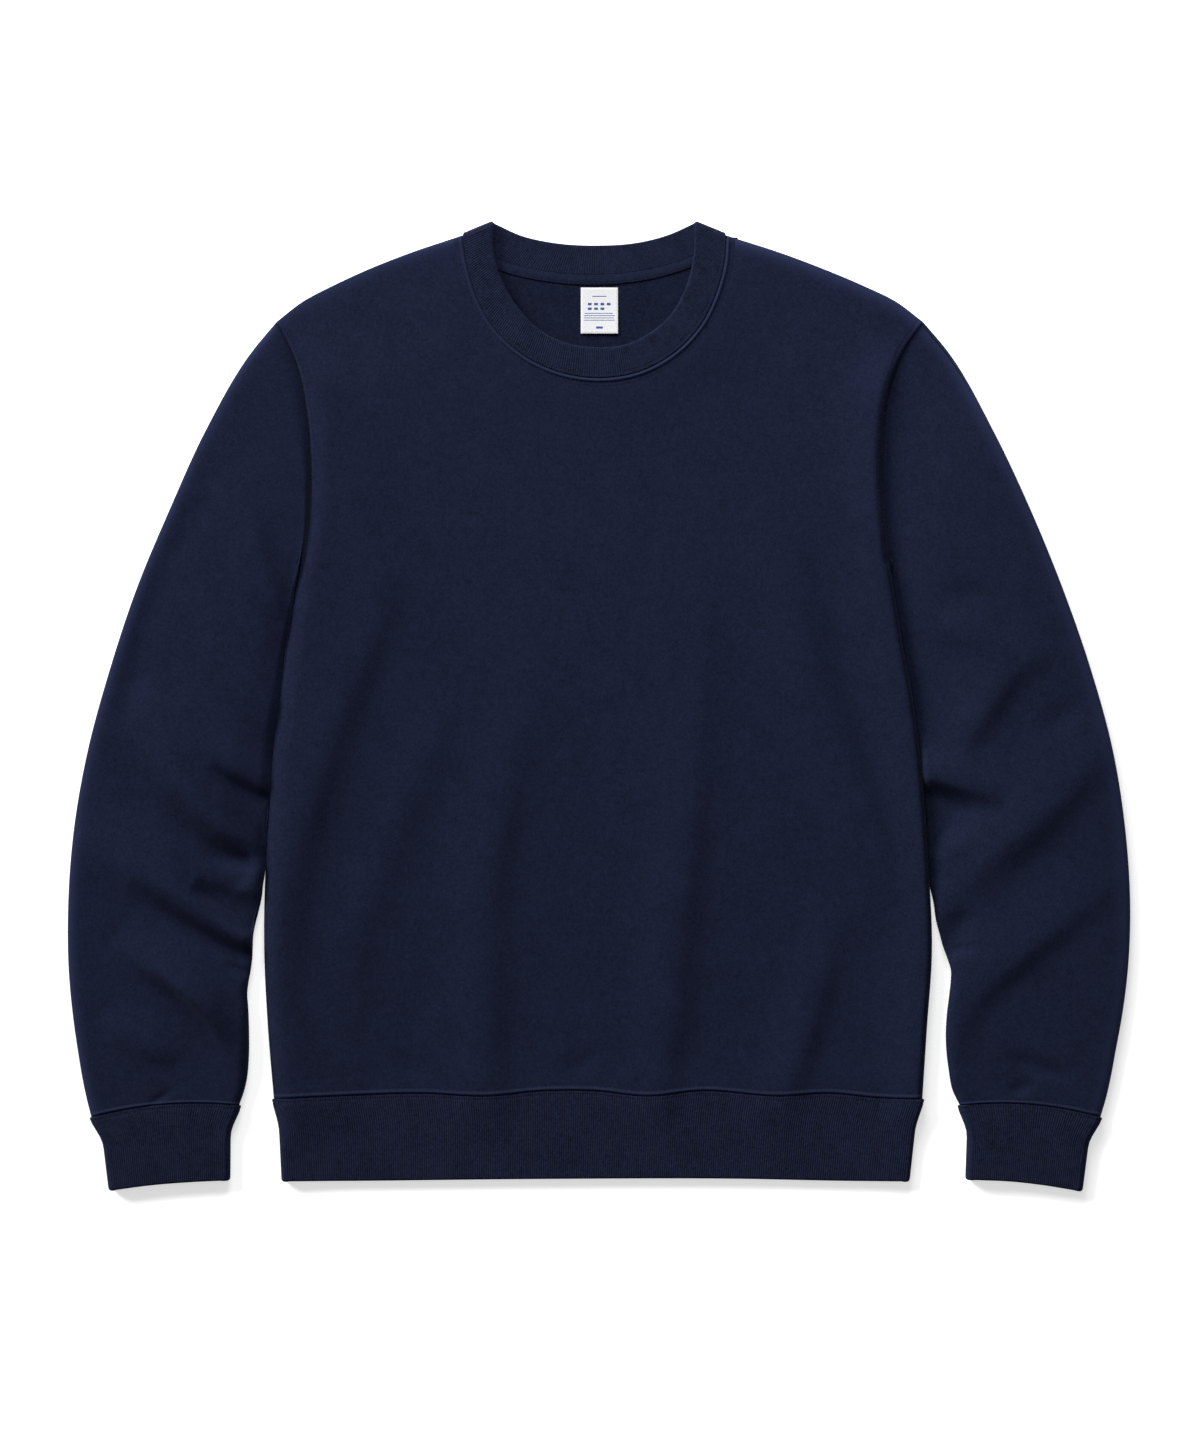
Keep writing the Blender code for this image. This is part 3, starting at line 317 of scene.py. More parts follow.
# sleeves
SLEEVE_CLEAR = 0.15  # between the body's side and a sleeve that isn't tucked under it
SLEEVE_TUCK = 0.5  # how far a sleeve's inner edge lies under the side that it lies along
SLEEVE_TUCK_HEIGHT = 2.6  # of that edge's fold
SLEEVE_TUCK_REACHES = (14.0, 75.0)  # how far from the body each sleeve's tucked edge has come up
TUCK_STARTS, TUCK_ENDS = 20, 14  # lengths over which the tuck comes in and goes
SLEEVE_SLOPES = ((46.0, 0.12), (100.0, 0.05))  # beside the body: rises over this, from this share
SLEEVE_STARTS = ((5.0, 17.0, 100.0), (-4.0, 5.0, 140.0))  # at an armhole: rise, over this, gone by
SLEEVE_ROLL = 2.0  # more radius at the folded edges, from ROLL_FADE of the length on
TWO_LAYERS = 4.1  # the lowest that a sleeve's upper cloth can lie
UNDER_SHIFT = 1.0  # between a seam and the one in the layer below it
UNDER_SHIFT_ENDS, UNDER_SHIFT_FADE = 4, 0.02  # how it fades at a seam's ends, and along a sleeve
SLEEVE_FOLD_HEIGHT, CUFF_FOLD_DROP = 6.0, 1.2  # of a sleeve's folded edges, and less at the cuff
SLEEVE_DOME = 1.0  # more height along a sleeve's middle
SLEEVE_SEAM_BOW = 5.5  # how far a cuff's seam bows up
SLEEVE_LIFT_FADE = 20  # a sleeve's folds start over this from the armhole
ARM_GROOVE, ARM_GROOVE_WIDTH = 0.9, 1.0
# shares of a sleeve's length
ARMHOLE_FADE, HEIGHT_FADE, ROLL_FADE = 0.35, 0.16, 0.20
CUFF_BOW_FROM, CUFF_DROP_FROM = 0.85, 0.90

# ribbed bands
HEM_HEIGHT, CUFF_HEIGHT, COLLAR_HEIGHT = 7.3, 10.2, 8.4
HEM_CLEAR = 0.2  # between the panels and the hem
HEM_CROWN, HEM_CROWN_REACH = 1.6, 25.0  # the hem's rise along its folds
HEM_WAIST, CUFF_WAIST = 4.4, 8.0  # how far a band's sides pull in below its seam
WAIST_BY = 0.42  # share of its width by which they have
BAND_CORNER = 2.4  # radius of the corners at a band's turned edge
BAND_FOLD_FADE = 0.6  # share of the hem's width that the body's folds run on over
COLLAR_FOLD_CLEAR = 1.3  # between the collar's folds and the ends of the shoulder seams
SEWN_WALL, SEWN_WALL_REACH = 0.65, 1.1  # share of a band's thickness at its seam, whole after this
TURNED_REACH = 1.6  # radius of its turned edge
LEAST_WALL = 0.05
RIB_GROOVE, RIB_GROOVE_WIDTH = 0.30, 0.45
RIB_MEAN = 0.64  # of |cos|
RIB_STARTS, RIB_ENDS = 0.8, 1.4  # lengths over which ribs rise at a band's seam and its turned edge

# neck tape and care label
TAPE_WIDTH = 7.5
TAPE_BELOW_SEAM = -0.5
TAPE_SPAN = (0.13, 0.87)
TAPE_STITCHES = (0.14, 0.86)  # shares of the tape's width, as the next three are
TAPE_ROWS = (
    0, 0.02, 0.05, 0.09, 0.14, 0.19, 0.28, 0.4, 0.5, 0.6, 0.72, 0.81, 0.86, 0.91, 0.95, 0.98, 1,
)
TAPE_GROOVE_WIDTH, TAPE_EDGE_REACH = 0.06, 0.09
TAPE_GROOVE, TAPE_EDGE, TAPE_CROWN = 0.22, 0.6, 0.35
LABEL_WIDE, LABEL_TALL, LABEL_CENTRE_X, LABEL_TOP_Y, LABEL_LIFT = 29.0, 36.0, 0.5, 327.0, 1.2
LABEL_CURL = 0.25
LABEL_EDGE, LABEL_EDGE_REACH = 0.25, 0.8
LABEL_BODY = 0.6  # share of its thickness between its folded edges
MARK_LIFT, MARK_THICK = 0.07, 0.1
# u, v of each mark's middle on the label, its width and its height, as shares of the label
LABEL_MARKS = (
    (0.50, 0.19, 0.38, 0.016),
    *((u, 0.36, 0.10, 0.050) for u in (0.24, 0.41, 0.58, 0.75)),
    *((u, 0.46, 0.10, 0.050) for u in (0.24, 0.41, 0.58)),
    (0.48, 0.56, 0.76, 0.012), (0.50, 0.61, 0.82, 0.012), (0.49, 0.66, 0.80, 0.012),
    (0.50, 0.71, 0.84, 0.012), (0.50, 0.87, 0.18, 0.045),
)

# stations beside a seam or a fold, in millimetres from it
EDGE_STEPS = (0.0, 0.4, 0.8, 1.3, 1.8, 2.4, 3.0, 3.6, 4.2, 5.0, 6.5, 9.0)
RIDGE_STEPS = (0.0, 0.25, 0.6, 1.0, 1.5, 2.0, 2.5, 3.0, 3.4, 3.8, 4.3, 5.0, 6.2, 7.6, 9.0)
UNDERARM_STEPS = (0.0, 0.6, 1.5, 3.0)
SLEEVE_TOP_STEPS = (0.0, 0.5, 1.2, 2.2, 3.5, 5.0, 7.0)
SLEEVE_UNDER_STEPS = (0.0, 0.8, 2.0, 4.0, 7.0)
SLEEVE_START_STEPS = (0.0, 1.0, 2.5)
BAND_STEPS = (0.0, 0.3, 0.8, 1.4, 2.1, 2.8, 3.5, 4.6)
TURN_STEPS = (0.0, 0.15, 0.45, 0.9, 1.5, 2.6)
BAND_TURNS = (0.0, 22.0, 45.0, 67.0, 90.0)  # in degrees round a band's fold

# how many steps there are between them
SLEEVE_ROWS, SLEEVE_TOP_COLUMNS, SLEEVE_UNDER_COLUMNS = 230, 62, 20
BESIDE_ROWS = 41
ARM_ROWS = 40
BAND_ROW = 6  # width of a band for each of its rows
RIB_STEPS = 6  # stations in one rib
LABEL_GRID, MARK_GRID = (33, 41), (5, 3)
FINE = np.linspace(0, 1, 60)
FINER = np.linspace(0, 1, 120)
FINEST = np.linspace(0, 1, 240)
SEAM_FINE = np.linspace(0, 1, 400)
FOLD_STEPS = np.linspace(0, 1, 25)
LENGTH_STEPS = np.linspace(0, 1, 200)
RIDGE_ALONG = np.linspace(0.004, 0.996, 361)
TAPE_ALONG = np.linspace(*TAPE_SPAN, 121)

# stitches
BODY_STITCH, RIB_STITCH = 3.6, 2.8  # from each seam to its two rows of stitches
STITCH_SIT = 0.12
NECK_BARE, HEM_BARE, ARM_BARE = 0.012, 0.006, 0.03  # shares of a seam at each end with no stitches
ENDS_BARE = 4  # stations at both ends of a sleeve's or a band's row
THREAD_STEPS = (-1.0, -0.86, -0.45, 0.45, 0.86, 1.0)
THREAD_SIDES = 6
THREAD_END, THREAD_BEND = 0.02, 0.35

# ---------------------------------------------------------------- looks and studio

SHADE_RANGE = (0.32, 0.68)  # of the knit group's shade, from the darkest colour to the palest
SHEEN_ROUGHNESS, BUMP = 0.4, 0.5
# how much paler colour, worn nap and painted highlight, shows on a crest, and how many times the
# cloth's colour it is
WEAR_AND_HIGHLIGHT_SHARE, WEAR_AND_HIGHLIGHT_COLOUR = 0.5, 2.2
INSIDE_SHADED_COLOUR = 0.74  # times the face's: the inside is painted darker, a painted shade
KNIT_SLANT, KNIT_COURSE = 1.6, 0.35  # slant of a course's V over a wale, in radians, and its rise
FUZZ_DETAIL, FUZZ_ROUGHNESS, FUZZ_SHARE = 3.0, 0.6, 0.48
# scale, detail, roughness and share of each coarser noise in a knit's shade
KNIT_NOISES = ((420.0, 4.0, 0.65, 0.33), (150.0, 2.0, 0.5, 0.11), (45.0, 2.0, 0.5, 0.10))
# the studio, in metres where nothing else is said
FLOOR_WHITE, WHITE = 0.95, (1, 1, 1, 1)
LAMP_PLACE = (-0.1, 1.35, 0.9)
SENSOR = 36.0  # width of the camera's sensor in its own millimetres
CAMERA_X, CAMERA_Y = 0.000975, -0.0107
VIEW_PLANE = 0.006  # height at which the view is as high as the studio's setting says
FAR = 20  # where the camera's view ends


# ---------------------------------------------------------------- settings


class SweatshirtCloth(bpy.types.PropertyGroup):
    """Sizes and colours of the cloth."""

    fleece: bpy.props.FloatProperty(
        name="Fleece", description="Thickness of the fleece", default=0.0020, min=0.0005,
        unit="LENGTH",
    )
    rib_cloth: bpy.props.FloatProperty(
        name="Rib", description="Thickness of the ribs, folded double", default=0.0030, min=0.001,
        unit="LENGTH",
    )
    rib_pitch: bpy.props.FloatProperty(
        name="Rib Pitch", description="From one rib to the next", default=0.00175, min=0.001,
        unit="LENGTH",
    )
    rib_rise: bpy.props.FloatProperty(
        name="Rib Rise", description="Height of a rib over its groove", default=0.00036,
        unit="LENGTH",
    )
    seam_gap: bpy.props.FloatProperty(
        name="Seam Gap", description="Between two pieces at a seam", default=0.00012, unit="LENGTH",
    )
    seam_ridge: bpy.props.FloatProperty(
        name="Seam Ridge", description="Rise of the cloth over a seam allowance", default=0.0011,
        unit="LENGTH",
    )
    stitch: bpy.props.FloatProperty(
        name="Stitch", description="Length of one stitch", default=0.0026, unit="LENGTH",
    )
    stitch_gap: bpy.props.FloatProperty(
        name="Stitch Gap", description="Between two stitches", default=0.0007, unit="LENGTH",
    )
    thread: bpy.props.FloatProperty(
        name="Thread", description="Thickness of the sewing thread", default=0.0005, unit="LENGTH",
    )
    tape: bpy.props.FloatProperty(
        name="Neck Tape", description="Thickness of the neck tape", default=0.0009, unit="LENGTH",
    )
    label: bpy.props.FloatProperty(
        name="Label", description="Thickness of the care label", default=0.0006, unit="LENGTH",
    )
    folds: bpy.props.FloatProperty(
        name="Folds", description="Share of the soft folds' full rise and fall", default=1.0,
        min=0.0, max=2.0,
    )
    fleece_colour: bpy.props.FloatVectorProperty(
        name="Fleece Colour", description="Colour of the fleece face", subtype="COLOR",
        default=(0.0082, 0.0109, 0.0274),
    )
    rib_colour: bpy.props.FloatVectorProperty(
        name="Rib Colour", description="Colour of the ribs", subtype="COLOR",
        default=(0.0088, 0.0113, 0.0270),
    )
    thread_colour: bpy.props.FloatVectorProperty(
        name="Thread Colour", description="Colour of the sewing thread", subtype="COLOR",
        default=(0.0082, 0.0109, 0.0274),
    )
    label_colour: bpy.props.FloatVectorProperty(
        name="Label Colour", description="Colour of the care label", subtype="COLOR",
        default=(0.60, 0.61, 0.625),
    )
    print_colour: bpy.props.FloatVectorProperty(
        name="Print Colour", description="Colour of the marks on the label", subtype="COLOR",
        default=(0.03, 0.06, 0.24),
    )


class SweatshirtStudio(bpy.types.PropertyGroup):
    """The floor, light and camera around the garment."""

    floor: bpy.props.FloatProperty(
        name="Floor", description="Side of the floor", default=6.0, unit="LENGTH",
    )
    frame_height: bpy.props.FloatProperty(
        name="Frame Height", description="Height of the view at the garment", default=1.1232,
        unit="LENGTH",
    )
    lens: bpy.props.FloatProperty(
        name="Lens", description="Focal length of the camera", default=100.0, unit="CAMERA",
    )
    sun: bpy.props.FloatProperty(
        name="Side Light", description="Strength of the even light from the upper left",
        default=4.6,
    )
    sun_spread: bpy.props.FloatProperty(
        name="Side Spread", description="Angle that the side light covers", subtype="ANGLE",
        default=math.radians(24),
    )
    sun_height: bpy.props.FloatProperty(
        name="Side Height", description="Angle of the side light over the table", subtype="ANGLE",
        default=math.radians(22),
    )
    sun_turn: bpy.props.FloatProperty(
        name="Side Turn", description="Where the side light comes from, from +X", subtype="ANGLE",
        default=math.radians(140),
    )
    lamp: bpy.props.FloatProperty(
        name="Lamp", description="Power of the lamp beyond the neck, in watts", default=20.0,
    )
    lamp_size: bpy.props.FloatProperty(
        name="Lamp Size", description="Side of the lamp's square face", default=0.8, unit="LENGTH",
    )
    ambient: bpy.props.FloatProperty(
        name="Ambient", description="Strength of the light from all round", default=0.18,
    )
    floor_glow: bpy.props.FloatProperty(
        name="Floor Glow", description="Light that comes up through the white table", default=0.55,
    )


def in_millimetres(settings):
    """The cloth's settings with its lengths in millimetres."""
    values = {}
    for prop in settings.bl_rna.properties:
        if prop.identifier in {"rna_type", "name"}:
            continue
        value = getattr(settings, prop.identifier)
        values[prop.identifier] = value / METRES if prop.unit == "LENGTH" else value
    return SimpleNamespace(**values)


# ---------------------------------------------------------------- curves


def smooth(at, knots, values):
    """Cubic pieces between the knots; the slope at a knot is that between its neighbours."""
    knots, values = np.asarray(knots, float), np.asarray(values, float)
    slopes = np.gradient(values, knots, axis=0)
    at = np.asarray(at, float)
    i = np.clip(np.searchsorted(knots, at, side="right") - 1, 0, len(knots) - 2)
    step = knots[i + 1] - knots[i]
    t = (at - knots[i]) / step
    if values.ndim > 1:
        t, step = t[..., None], step[..., None]
    before = (1 + 2 * t) * (1 - t) ** 2 * values[i] + t * (1 - t) ** 2 * step * slopes[i]
    after = t * t * (3 - 2 * t) * values[i + 1] - t * t * (1 - t) * step * slopes[i + 1]
    return before + after


def run_of(points):
    """The length run up to each point of a line."""
    return np.concatenate([[0], np.cumsum(np.linalg.norm(np.diff(points, axis=0), axis=1))])


def through(points, at):
    """Points at fractions `at` of the length of a smooth line through `points`."""
    points = np.asarray(points, float)
    run = run_of(points)
    return smooth(np.asarray(at) * run[-1], run, points)


def on_line(points, at):
    """Points at fractions `at` of the length of straight pieces between `points`."""
    points = np.asarray(points, float)
    run = run_of(points)
    spots = np.asarray(at) * run[-1]
    return np.stack([np.interp(spots, run, column) for column in points.T], axis=-1)


def length_of(points):
    """The length of a smooth line through `points`."""
    return run_of(through(points, LENGTH_STEPS))[-1]


def stations(length, near, count, far=None):
    """Fractions of a length: close steps at its ends, equal ones between, an even number in all."""
    far = near if far is None else far
    count += (len(near) + len(far) + count) % 2
    middle = np.linspace(near[-1], length - far[-1], count + 1)
    return np.concatenate([near[:-1], middle, length - np.array(far[-2::-1], float)]) / length


def unit(vectors):
    """Vectors divided by their lengths."""
    return vectors / np.linalg.norm(vectors, axis=-1)[..., None]


def lifted(plan, height):
    """The points of a plan at their heights."""
    height = np.broadcast_to(height, plan.shape[:-1])
    return np.concatenate([plan, height[..., None]], axis=-1)


def moved(line, gap):
    """A line moved by a gap to its right, square to its own slope."""
    line = np.asarray(line, float)
    along = np.gradient(line, axis=0)
    return line + gap * unit(np.stack([along[:, 1], -along[:, 0]], axis=1))


def ease(t):
    """3t^2 - 2t^3, a soft step from 0 to 1."""
    t = np.clip(t, 0, 1)
    return t * t * (3 - 2 * t)


def under(line, shift):
    """The under layer's seam, moved to its right from the upper one, fading in from both ends."""
    run = run_of(line)
    from_end = np.minimum(run, run[-1] - run)
    return line + (moved(line, shift) - line) * ease(from_end / UNDER_SHIFT_ENDS)[:, None]


def roll(distance, reach):
    """A quarter circle: sqrt(1 - (1 - distance / reach)^2)."""
    t = np.clip(np.asarray(distance, float) / reach, 0, 1)
    return np.sqrt(1 - (1 - t) ** 2)


def bell(distance, width):
    """exp(-(distance / width)^2)."""
    return np.exp(-((distance / width) ** 2))


def folded(height, lowest, rise):
    """A height with a fold's rise added; a fall flattens out as it nears the lowest height."""
    room = np.maximum(height - lowest, LEAST_ROOM)
    fallen = height + room * (np.exp(np.minimum(rise, 0) / room) - 1)
    return np.where(rise > 0, height + rise, fallen)


def folds(points, table):
    """The sum of soft folds: bells across smooth lines, with the table's rises and half widths."""
    total = np.zeros(points.shape[:-1])
    for row in table:
        row = np.array(row)
        run = run_of(row[:, :2])
        line = smooth(FOLD_STEPS * run[-1], run, row)
        start, piece = line[:-1, :2], np.diff(line[:, :2], axis=0)
        from_start = points[..., None, :] - start
        t = np.clip((from_start * piece).sum(-1) / (piece**2).sum(-1), 0, 1)
        gap = np.linalg.norm(from_start - t[..., None] * piece, axis=-1)
        cross = piece[:, 0] * from_start[..., 1] - piece[:, 1] * from_start[..., 0]
        closest = gap.argmin(-1)[..., None]
        gap, t, cross = (np.take_along_axis(x, closest, -1)[..., 0] for x in (gap, t, cross))
        at = closest[..., 0] + t
        rise, left, right = (np.interp(at, np.arange(len(line)), line[:, k]) for k in (2, 3, 4))
        total += rise * bell(gap, np.where(cross > 0, left, right))
    return total


def distance_to(points, line):
    """The distance in plan from each point to the nearest of a line's straight pieces."""
    flat = points.reshape(-1, 2)
    start, piece = line[:-1], np.diff(line, axis=0)
    from_start = flat[:, None] - start
    t = np.clip((from_start * piece).sum(-1) / (piece**2).sum(-1), 0, 1)
    gap = np.linalg.norm(from_start - t[..., None] * piece, axis=-1).min(-1)
    return gap.reshape(points.shape[:-1])


def body_edge(side, y):
    """Points of the body's edge at heights y, on the wearer's right (0) or left (1)."""
    table = np.array(BODY_EDGE)
    return np.stack([smooth(y, table[:, 0], table[:, 1 + side]), np.asarray(y, float)], axis=-1)


def edge_pair(low, high):
    """Both of the body's edges between two heights."""
    return [body_edge(side, low + FINE * (high - low)) for side in (0, 1)]


SIDE_LINES = edge_pair(BODY_EDGE[0][0], UNDERARM_Y)
EDGE_LINES = edge_pair(BODY_EDGE[0][0], SHOULDER_Y)
ARM_LINES = edge_pair(UNDERARM_Y, SHOULDER_Y)
SHOULDER_LINES = [through(line, FINE) for line in (RIGHT_SHOULDER, LEFT_SHOULDER)]
NECK_LINE = through(FRONT_NECK, FINER)
HEM_LINE = through(HEM_SEAM, FINER)


def nearest(points, lines):
    """The distance in plan to the nearest of some lines."""
    return np.min([distance_to(points, line) for line in lines], axis=0)


# ---------------------------------------------------------------- meshes


class Shell:
    """Gathers grids of points, in millimetres, and strips between their edges into one mesh."""

    def __init__(self):
        self.points, self.uvs, self.quads, self.quad_uvs, self.triangles = [], [], [], [], []
        self.wears, self.insides = [], []
        self.count = 0

    def grid(self, points, uv, ring=False, wear=0.0, inside=False):
        """Adds a grid. A ring's uv has one column more than its points, for the way round."""
        rows, columns = points.shape[:2]
        at = self.count + np.arange(rows * columns).reshape(rows, columns)
        self.points.append(points.reshape(-1, 3))
        self.wears.append(np.broadcast_to(wear, (rows, columns)).ravel())
        self.uvs.append(uv[:, :columns].reshape(-1, 2))
        self.count += rows * columns
        near = at if ring else at[:, :-1]
        far = np.roll(at, -1, axis=1) if ring else at[:, 1:]
        near_uv, far_uv = uv[:, :-1], uv[:, 1:]
        cells = np.stack([near[:-1], far[:-1], far[1:], near[1:]], axis=-1)
        self.quads.append(cells.reshape(-1, 4))
        self.insides.append(np.full(len(self.quads[-1]), inside))
        corners = [near_uv[:-1], far_uv[:-1], far_uv[1:], near_uv[1:]]
        self.quad_uvs.append(np.stack(corners, axis=-2).reshape(-1, 4, 2))
        return at

    def strip(self, fine, coarse):
        """Joins an edge to one with a whole number of times fewer steps."""
        step = (len(fine) - 1) // (len(coarse) - 1)
        for k in range(step):
            towards = coarse[1:] if k >= step / 2 else coarse[:-1]
            corners = [fine[k:-1:step], fine[k + 1 :: step], towards]
            self.triangles.append(np.stack(corners, axis=-1))
        middle = fine[(step + 1) // 2 :: step][: len(coarse) - 1]
        self.triangles.append(np.stack([middle, coarse[1:], coarse[:-1]], axis=-1))

    def finish(self, name, *materials):
        """Makes the object, in metres, its faces pointing out; a second material goes inside."""
        points = np.concatenate(self.points) * METRES
        uvs = np.concatenate(self.uvs) * METRES
        quads = np.concatenate(self.quads)
        triangles = np.concatenate(self.triangles) if self.triangles else np.empty((0, 3), int)
        mesh = bpy.data.meshes.new(name)
        mesh.vertices.add(len(points))
        mesh.vertices.foreach_set("co", points.ravel())
        loops = np.concatenate([quads.ravel(), triangles.ravel()])
        mesh.loops.add(len(loops))
        mesh.loops.foreach_set("vertex_index", loops)
        starts = [np.arange(len(quads)) * 4, len(quads) * 4 + np.arange(len(triangles)) * 3]
        starts = np.concatenate(starts)
        mesh.polygons.add(len(starts))
        mesh.polygons.foreach_set("loop_start", starts)
        mesh.update(calc_edges=True)
        layer = mesh.uv_layers.new(name="Cloth")
        quad_uvs = np.concatenate(self.quad_uvs).reshape(-1, 2) * METRES
        layer.data.foreach_set("uv", np.concatenate([quad_uvs, uvs[triangles.ravel()]]).ravel())
        # worn nap and painted highlight, which the material mixes into the cloth's colour
        wear_and_highlight_attribute = mesh.attributes.new("WearAndHighlight", "FLOAT", "POINT")
        wear_and_highlight_attribute.data.foreach_set("value", np.concatenate(self.wears).astype(np.float32))
        shape = bmesh.new()
        shape.from_mesh(mesh)
        bmesh.ops.recalc_face_normals(shape, faces=shape.faces)
        shape.to_mesh(mesh)
        shape.free()
        for material in materials:
            mesh.materials.append(material)
        if len(materials) > 1:
            inner = np.zeros(len(mesh.polygons), np.int32)
            inner[: len(quads)] = np.concatenate(self.insides)
            mesh.polygons.foreach_set("material_index", inner)
        mesh.shade_smooth()
        mesh.set_sharp_from_angle(angle=SHARP_ANGLE)
        piece = bpy.data.objects.new(name, mesh)
        bpy.context.scene.collection.objects.link(piece)
        return piece


def normals(points, ring=False):
    """The unit cross product of a grid's two slopes at each point."""
    if ring:
        around = np.roll(points, -1, axis=1) - np.roll(points, 1, axis=1)
    else:
        around = np.gradient(points, axis=1)
    square = np.cross(around, np.gradient(points, axis=0))
    return square / np.maximum(np.linalg.norm(square, axis=2), LEAST_SQUARE)[..., None]


def wall(shell, outer, inner, uv, ring=False, wear=0.0):
    """Closes a cloth wall between a fine outer grid and every other point of an inner one."""
    a = shell.grid(outer, uv, ring, wear)
    b = shell.grid(inner[::2, ::2], uv[::2, ::2], ring, inside=True)
    if ring:
        for end in (0, -1):
            shell.strip(np.append(a[end], a[end][0]), np.append(b[end], b[end][0]))
        return
    for edge in (np.s_[0], np.s_[-1], np.s_[:, 0], np.s_[:, -1]):
        shell.strip(a[edge], b[edge])


def attach(piece, nodes=()):
    """Puts a piece on the garment's body with its slot, in place of CAD nodes."""
    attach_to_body(piece, BODY)
    if nodes:
        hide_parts(*nodes)
    return piece


# ---------------------------------------------------------------- body panels


def seam_profile(distance, ridge):
    """The rise over a sewn edge: rolled in, a bell over the allowance, a groove at the stitches."""
    over = ridge * bell(distance - ALLOWANCE, ALLOWANCE_WIDTH)
    groove = STITCH_GROOVE * bell(distance - BODY_STITCH, STITCH_GROOVE_WIDTH)
    sunk = SEAM_SINK * (1 - roll(distance, SEAM_SINK_REACH))
    return over - groove - sunk


def seam_wear_and_highlight(distance):
    """How much the nap is worn off over a seam allowance, with a painted highlight: a bell on its
    crest.
    """
    return bell(distance - SEAM_WEAR_AND_HIGHLIGHT, SEAM_WEAR_AND_HIGHLIGHT_WIDTH)


def rim_highlight(distance, side):
    """How strong the painted highlight is along a folded edge: a bell on it."""
    return np.choose(side, RIM_HIGHLIGHTS) * bell(distance, RIM_WIDTH)


def front_height(points, cloth):
    """The front's height: its middle's, with bells along sides, neck and hem, and folds.

    Each side's last part rolls down by drop * (1 - d / reach)^2.
    """
    away = [distance_to(points, line) for line in EDGE_LINES]
    below = ease((SHOULDER_Y - points[..., 1]) / SHOULDER_FADE)
    sides = [rise * bell(d, fade) for d, (rise, fade) in zip(away, SIDE_RISES)]
    side = below * np.max(sides, axis=0)
    neck = NECK_RISE * bell(distance_to(points, NECK_LINE), NECK_FADE)
    hem = HEM_RISE * bell(distance_to(points, HEM_LINE), HEM_FADE)
    height = BODY_HEIGHT + np.maximum(side, np.maximum(neck, hem))
    for d, (drop, reach) in zip((away[0], distance_to(points, ARM_LINES[1])), SIDE_ROLLS):
        height -= below * drop * (1 - np.clip(d / reach, 0, 1)) ** 2
    return height + cloth.folds * folds(points, BODY_FOLDS)


def armhole(side, steps):
    """Points on an armhole from the underarm, how far each is from an end, and its length."""
    line = body_edge(side, np.linspace(UNDERARM_Y, SHOULDER_Y, ARM_ROWS))
    long = length_of(line)
    return through(line, steps), np.minimum(steps, 1 - steps) * long, long


def armhole_heights(side, steps, cloth):
    """The heights of the front and back panels along an armhole, which meet at its ends."""
    points, from_end, _ = armhole(side, steps)
    seam = SIDE_SEAM_HEIGHT + (SHOULDER_SEAM_HEIGHT - SIDE_SEAM_HEIGHT) * steps
    turn = roll(from_end, EDGE_ROLL)
    return seam + (front_height(points, cloth) - seam) * turn, seam * (1 - turn)


def armhole_turn(side, steps):
    """The direction square to the wall at each armhole point, in the upright surface over it."""
    points, from_end, _ = armhole(side, steps)
    along = unit(np.gradient(points, axis=0))
    to_end = np.where(steps < 0.5, -1.0, 1.0)[:, None] * along
    flat = (1 - np.clip(from_end / EDGE_ROLL, 0, 1))[:, None]
    return np.concatenate([to_end * flat, np.sqrt(1 - flat**2)], axis=1)


def filled(bottom, top, left, right):
    """Straight lines from bottom to top, plus each side's bow times (1 - u)^SIDE_PULL."""

    def fraction(line):
        run = run_of(line)
        return run / run[-1]

    u = ((fraction(bottom) + fraction(top)) / 2)[None, :, None]
    v = ((fraction(left) + fraction(right)) / 2)[:, None, None]
    straight = (1 - v) * bottom[None] + v * top[None]
    from_left = (left - straight[:, 0])[:, None] * (1 - u) ** SIDE_PULL
    return straight + from_left + (right - straight[:, -1])[:, None] * u**SIDE_PULL


class Cut:
    """How a body panel is divided: its neck, its columns over a shoulder and the neck, its rows."""

    def __init__(self, neck, shoulder_columns, neck_columns, side_rows, arm_rows):
        self.neck, self.columns = neck, (shoulder_columns, neck_columns)
        self.side_rows, self.arm_rows = side_rows, arm_rows

    def arm_steps(self, side):
        """Fractions along an armhole, from the underarm to the shoulder."""
        return stations(armhole(side, FINE)[2], UNDERARM_STEPS, self.arm_rows, EDGE_STEPS)

    def plan(self):
        """The plan, the row where the armholes start, and the columns at the neck's two ends."""
        edges = []
        for side in (0, 1):
            seam = SIDE_LINES[side]
            lower = through(seam, stations(length_of(seam), EDGE_STEPS, self.side_rows, (0,)))
            hole = armhole(side, self.arm_steps(side))[0]
            if self is not FRONT:
                hole = under(hole, (-UNDER_SHIFT, UNDER_SHIFT)[side])
            edges.append(np.concatenate([lower, hole[1:]]))
        count, neck_count = self.columns
        at = stations(length_of(RIGHT_SHOULDER), EDGE_STEPS, count, (0,))
        right = through(RIGHT_SHOULDER, at)
        at = stations(length_of(LEFT_SHOULDER), (0,), count, EDGE_STEPS)
        left = through(LEFT_SHOULDER, at)
        neck = through(self.neck, np.linspace(0, 1, neck_count + 1))
        top = np.concatenate([right, neck[1:-1], left])
        at = stations(length_of(HEM_SEAM), EDGE_STEPS, len(top) - 2 * len(EDGE_STEPS) + 1)
        hem = through(HEM_SEAM, at)
        if self is not FRONT:
            hem = under(hem, UNDER_SHIFT)
        return filled(hem, top, *edges), len(lower) - 1, (len(right) - 1, len(top) - len(left))


FRONT = Cut(FRONT_NECK, shoulder_columns=34, neck_columns=96, side_rows=150, arm_rows=50)
BACK = Cut(BACK_NECK, shoulder_columns=20, neck_columns=50, side_rows=70, arm_rows=24)


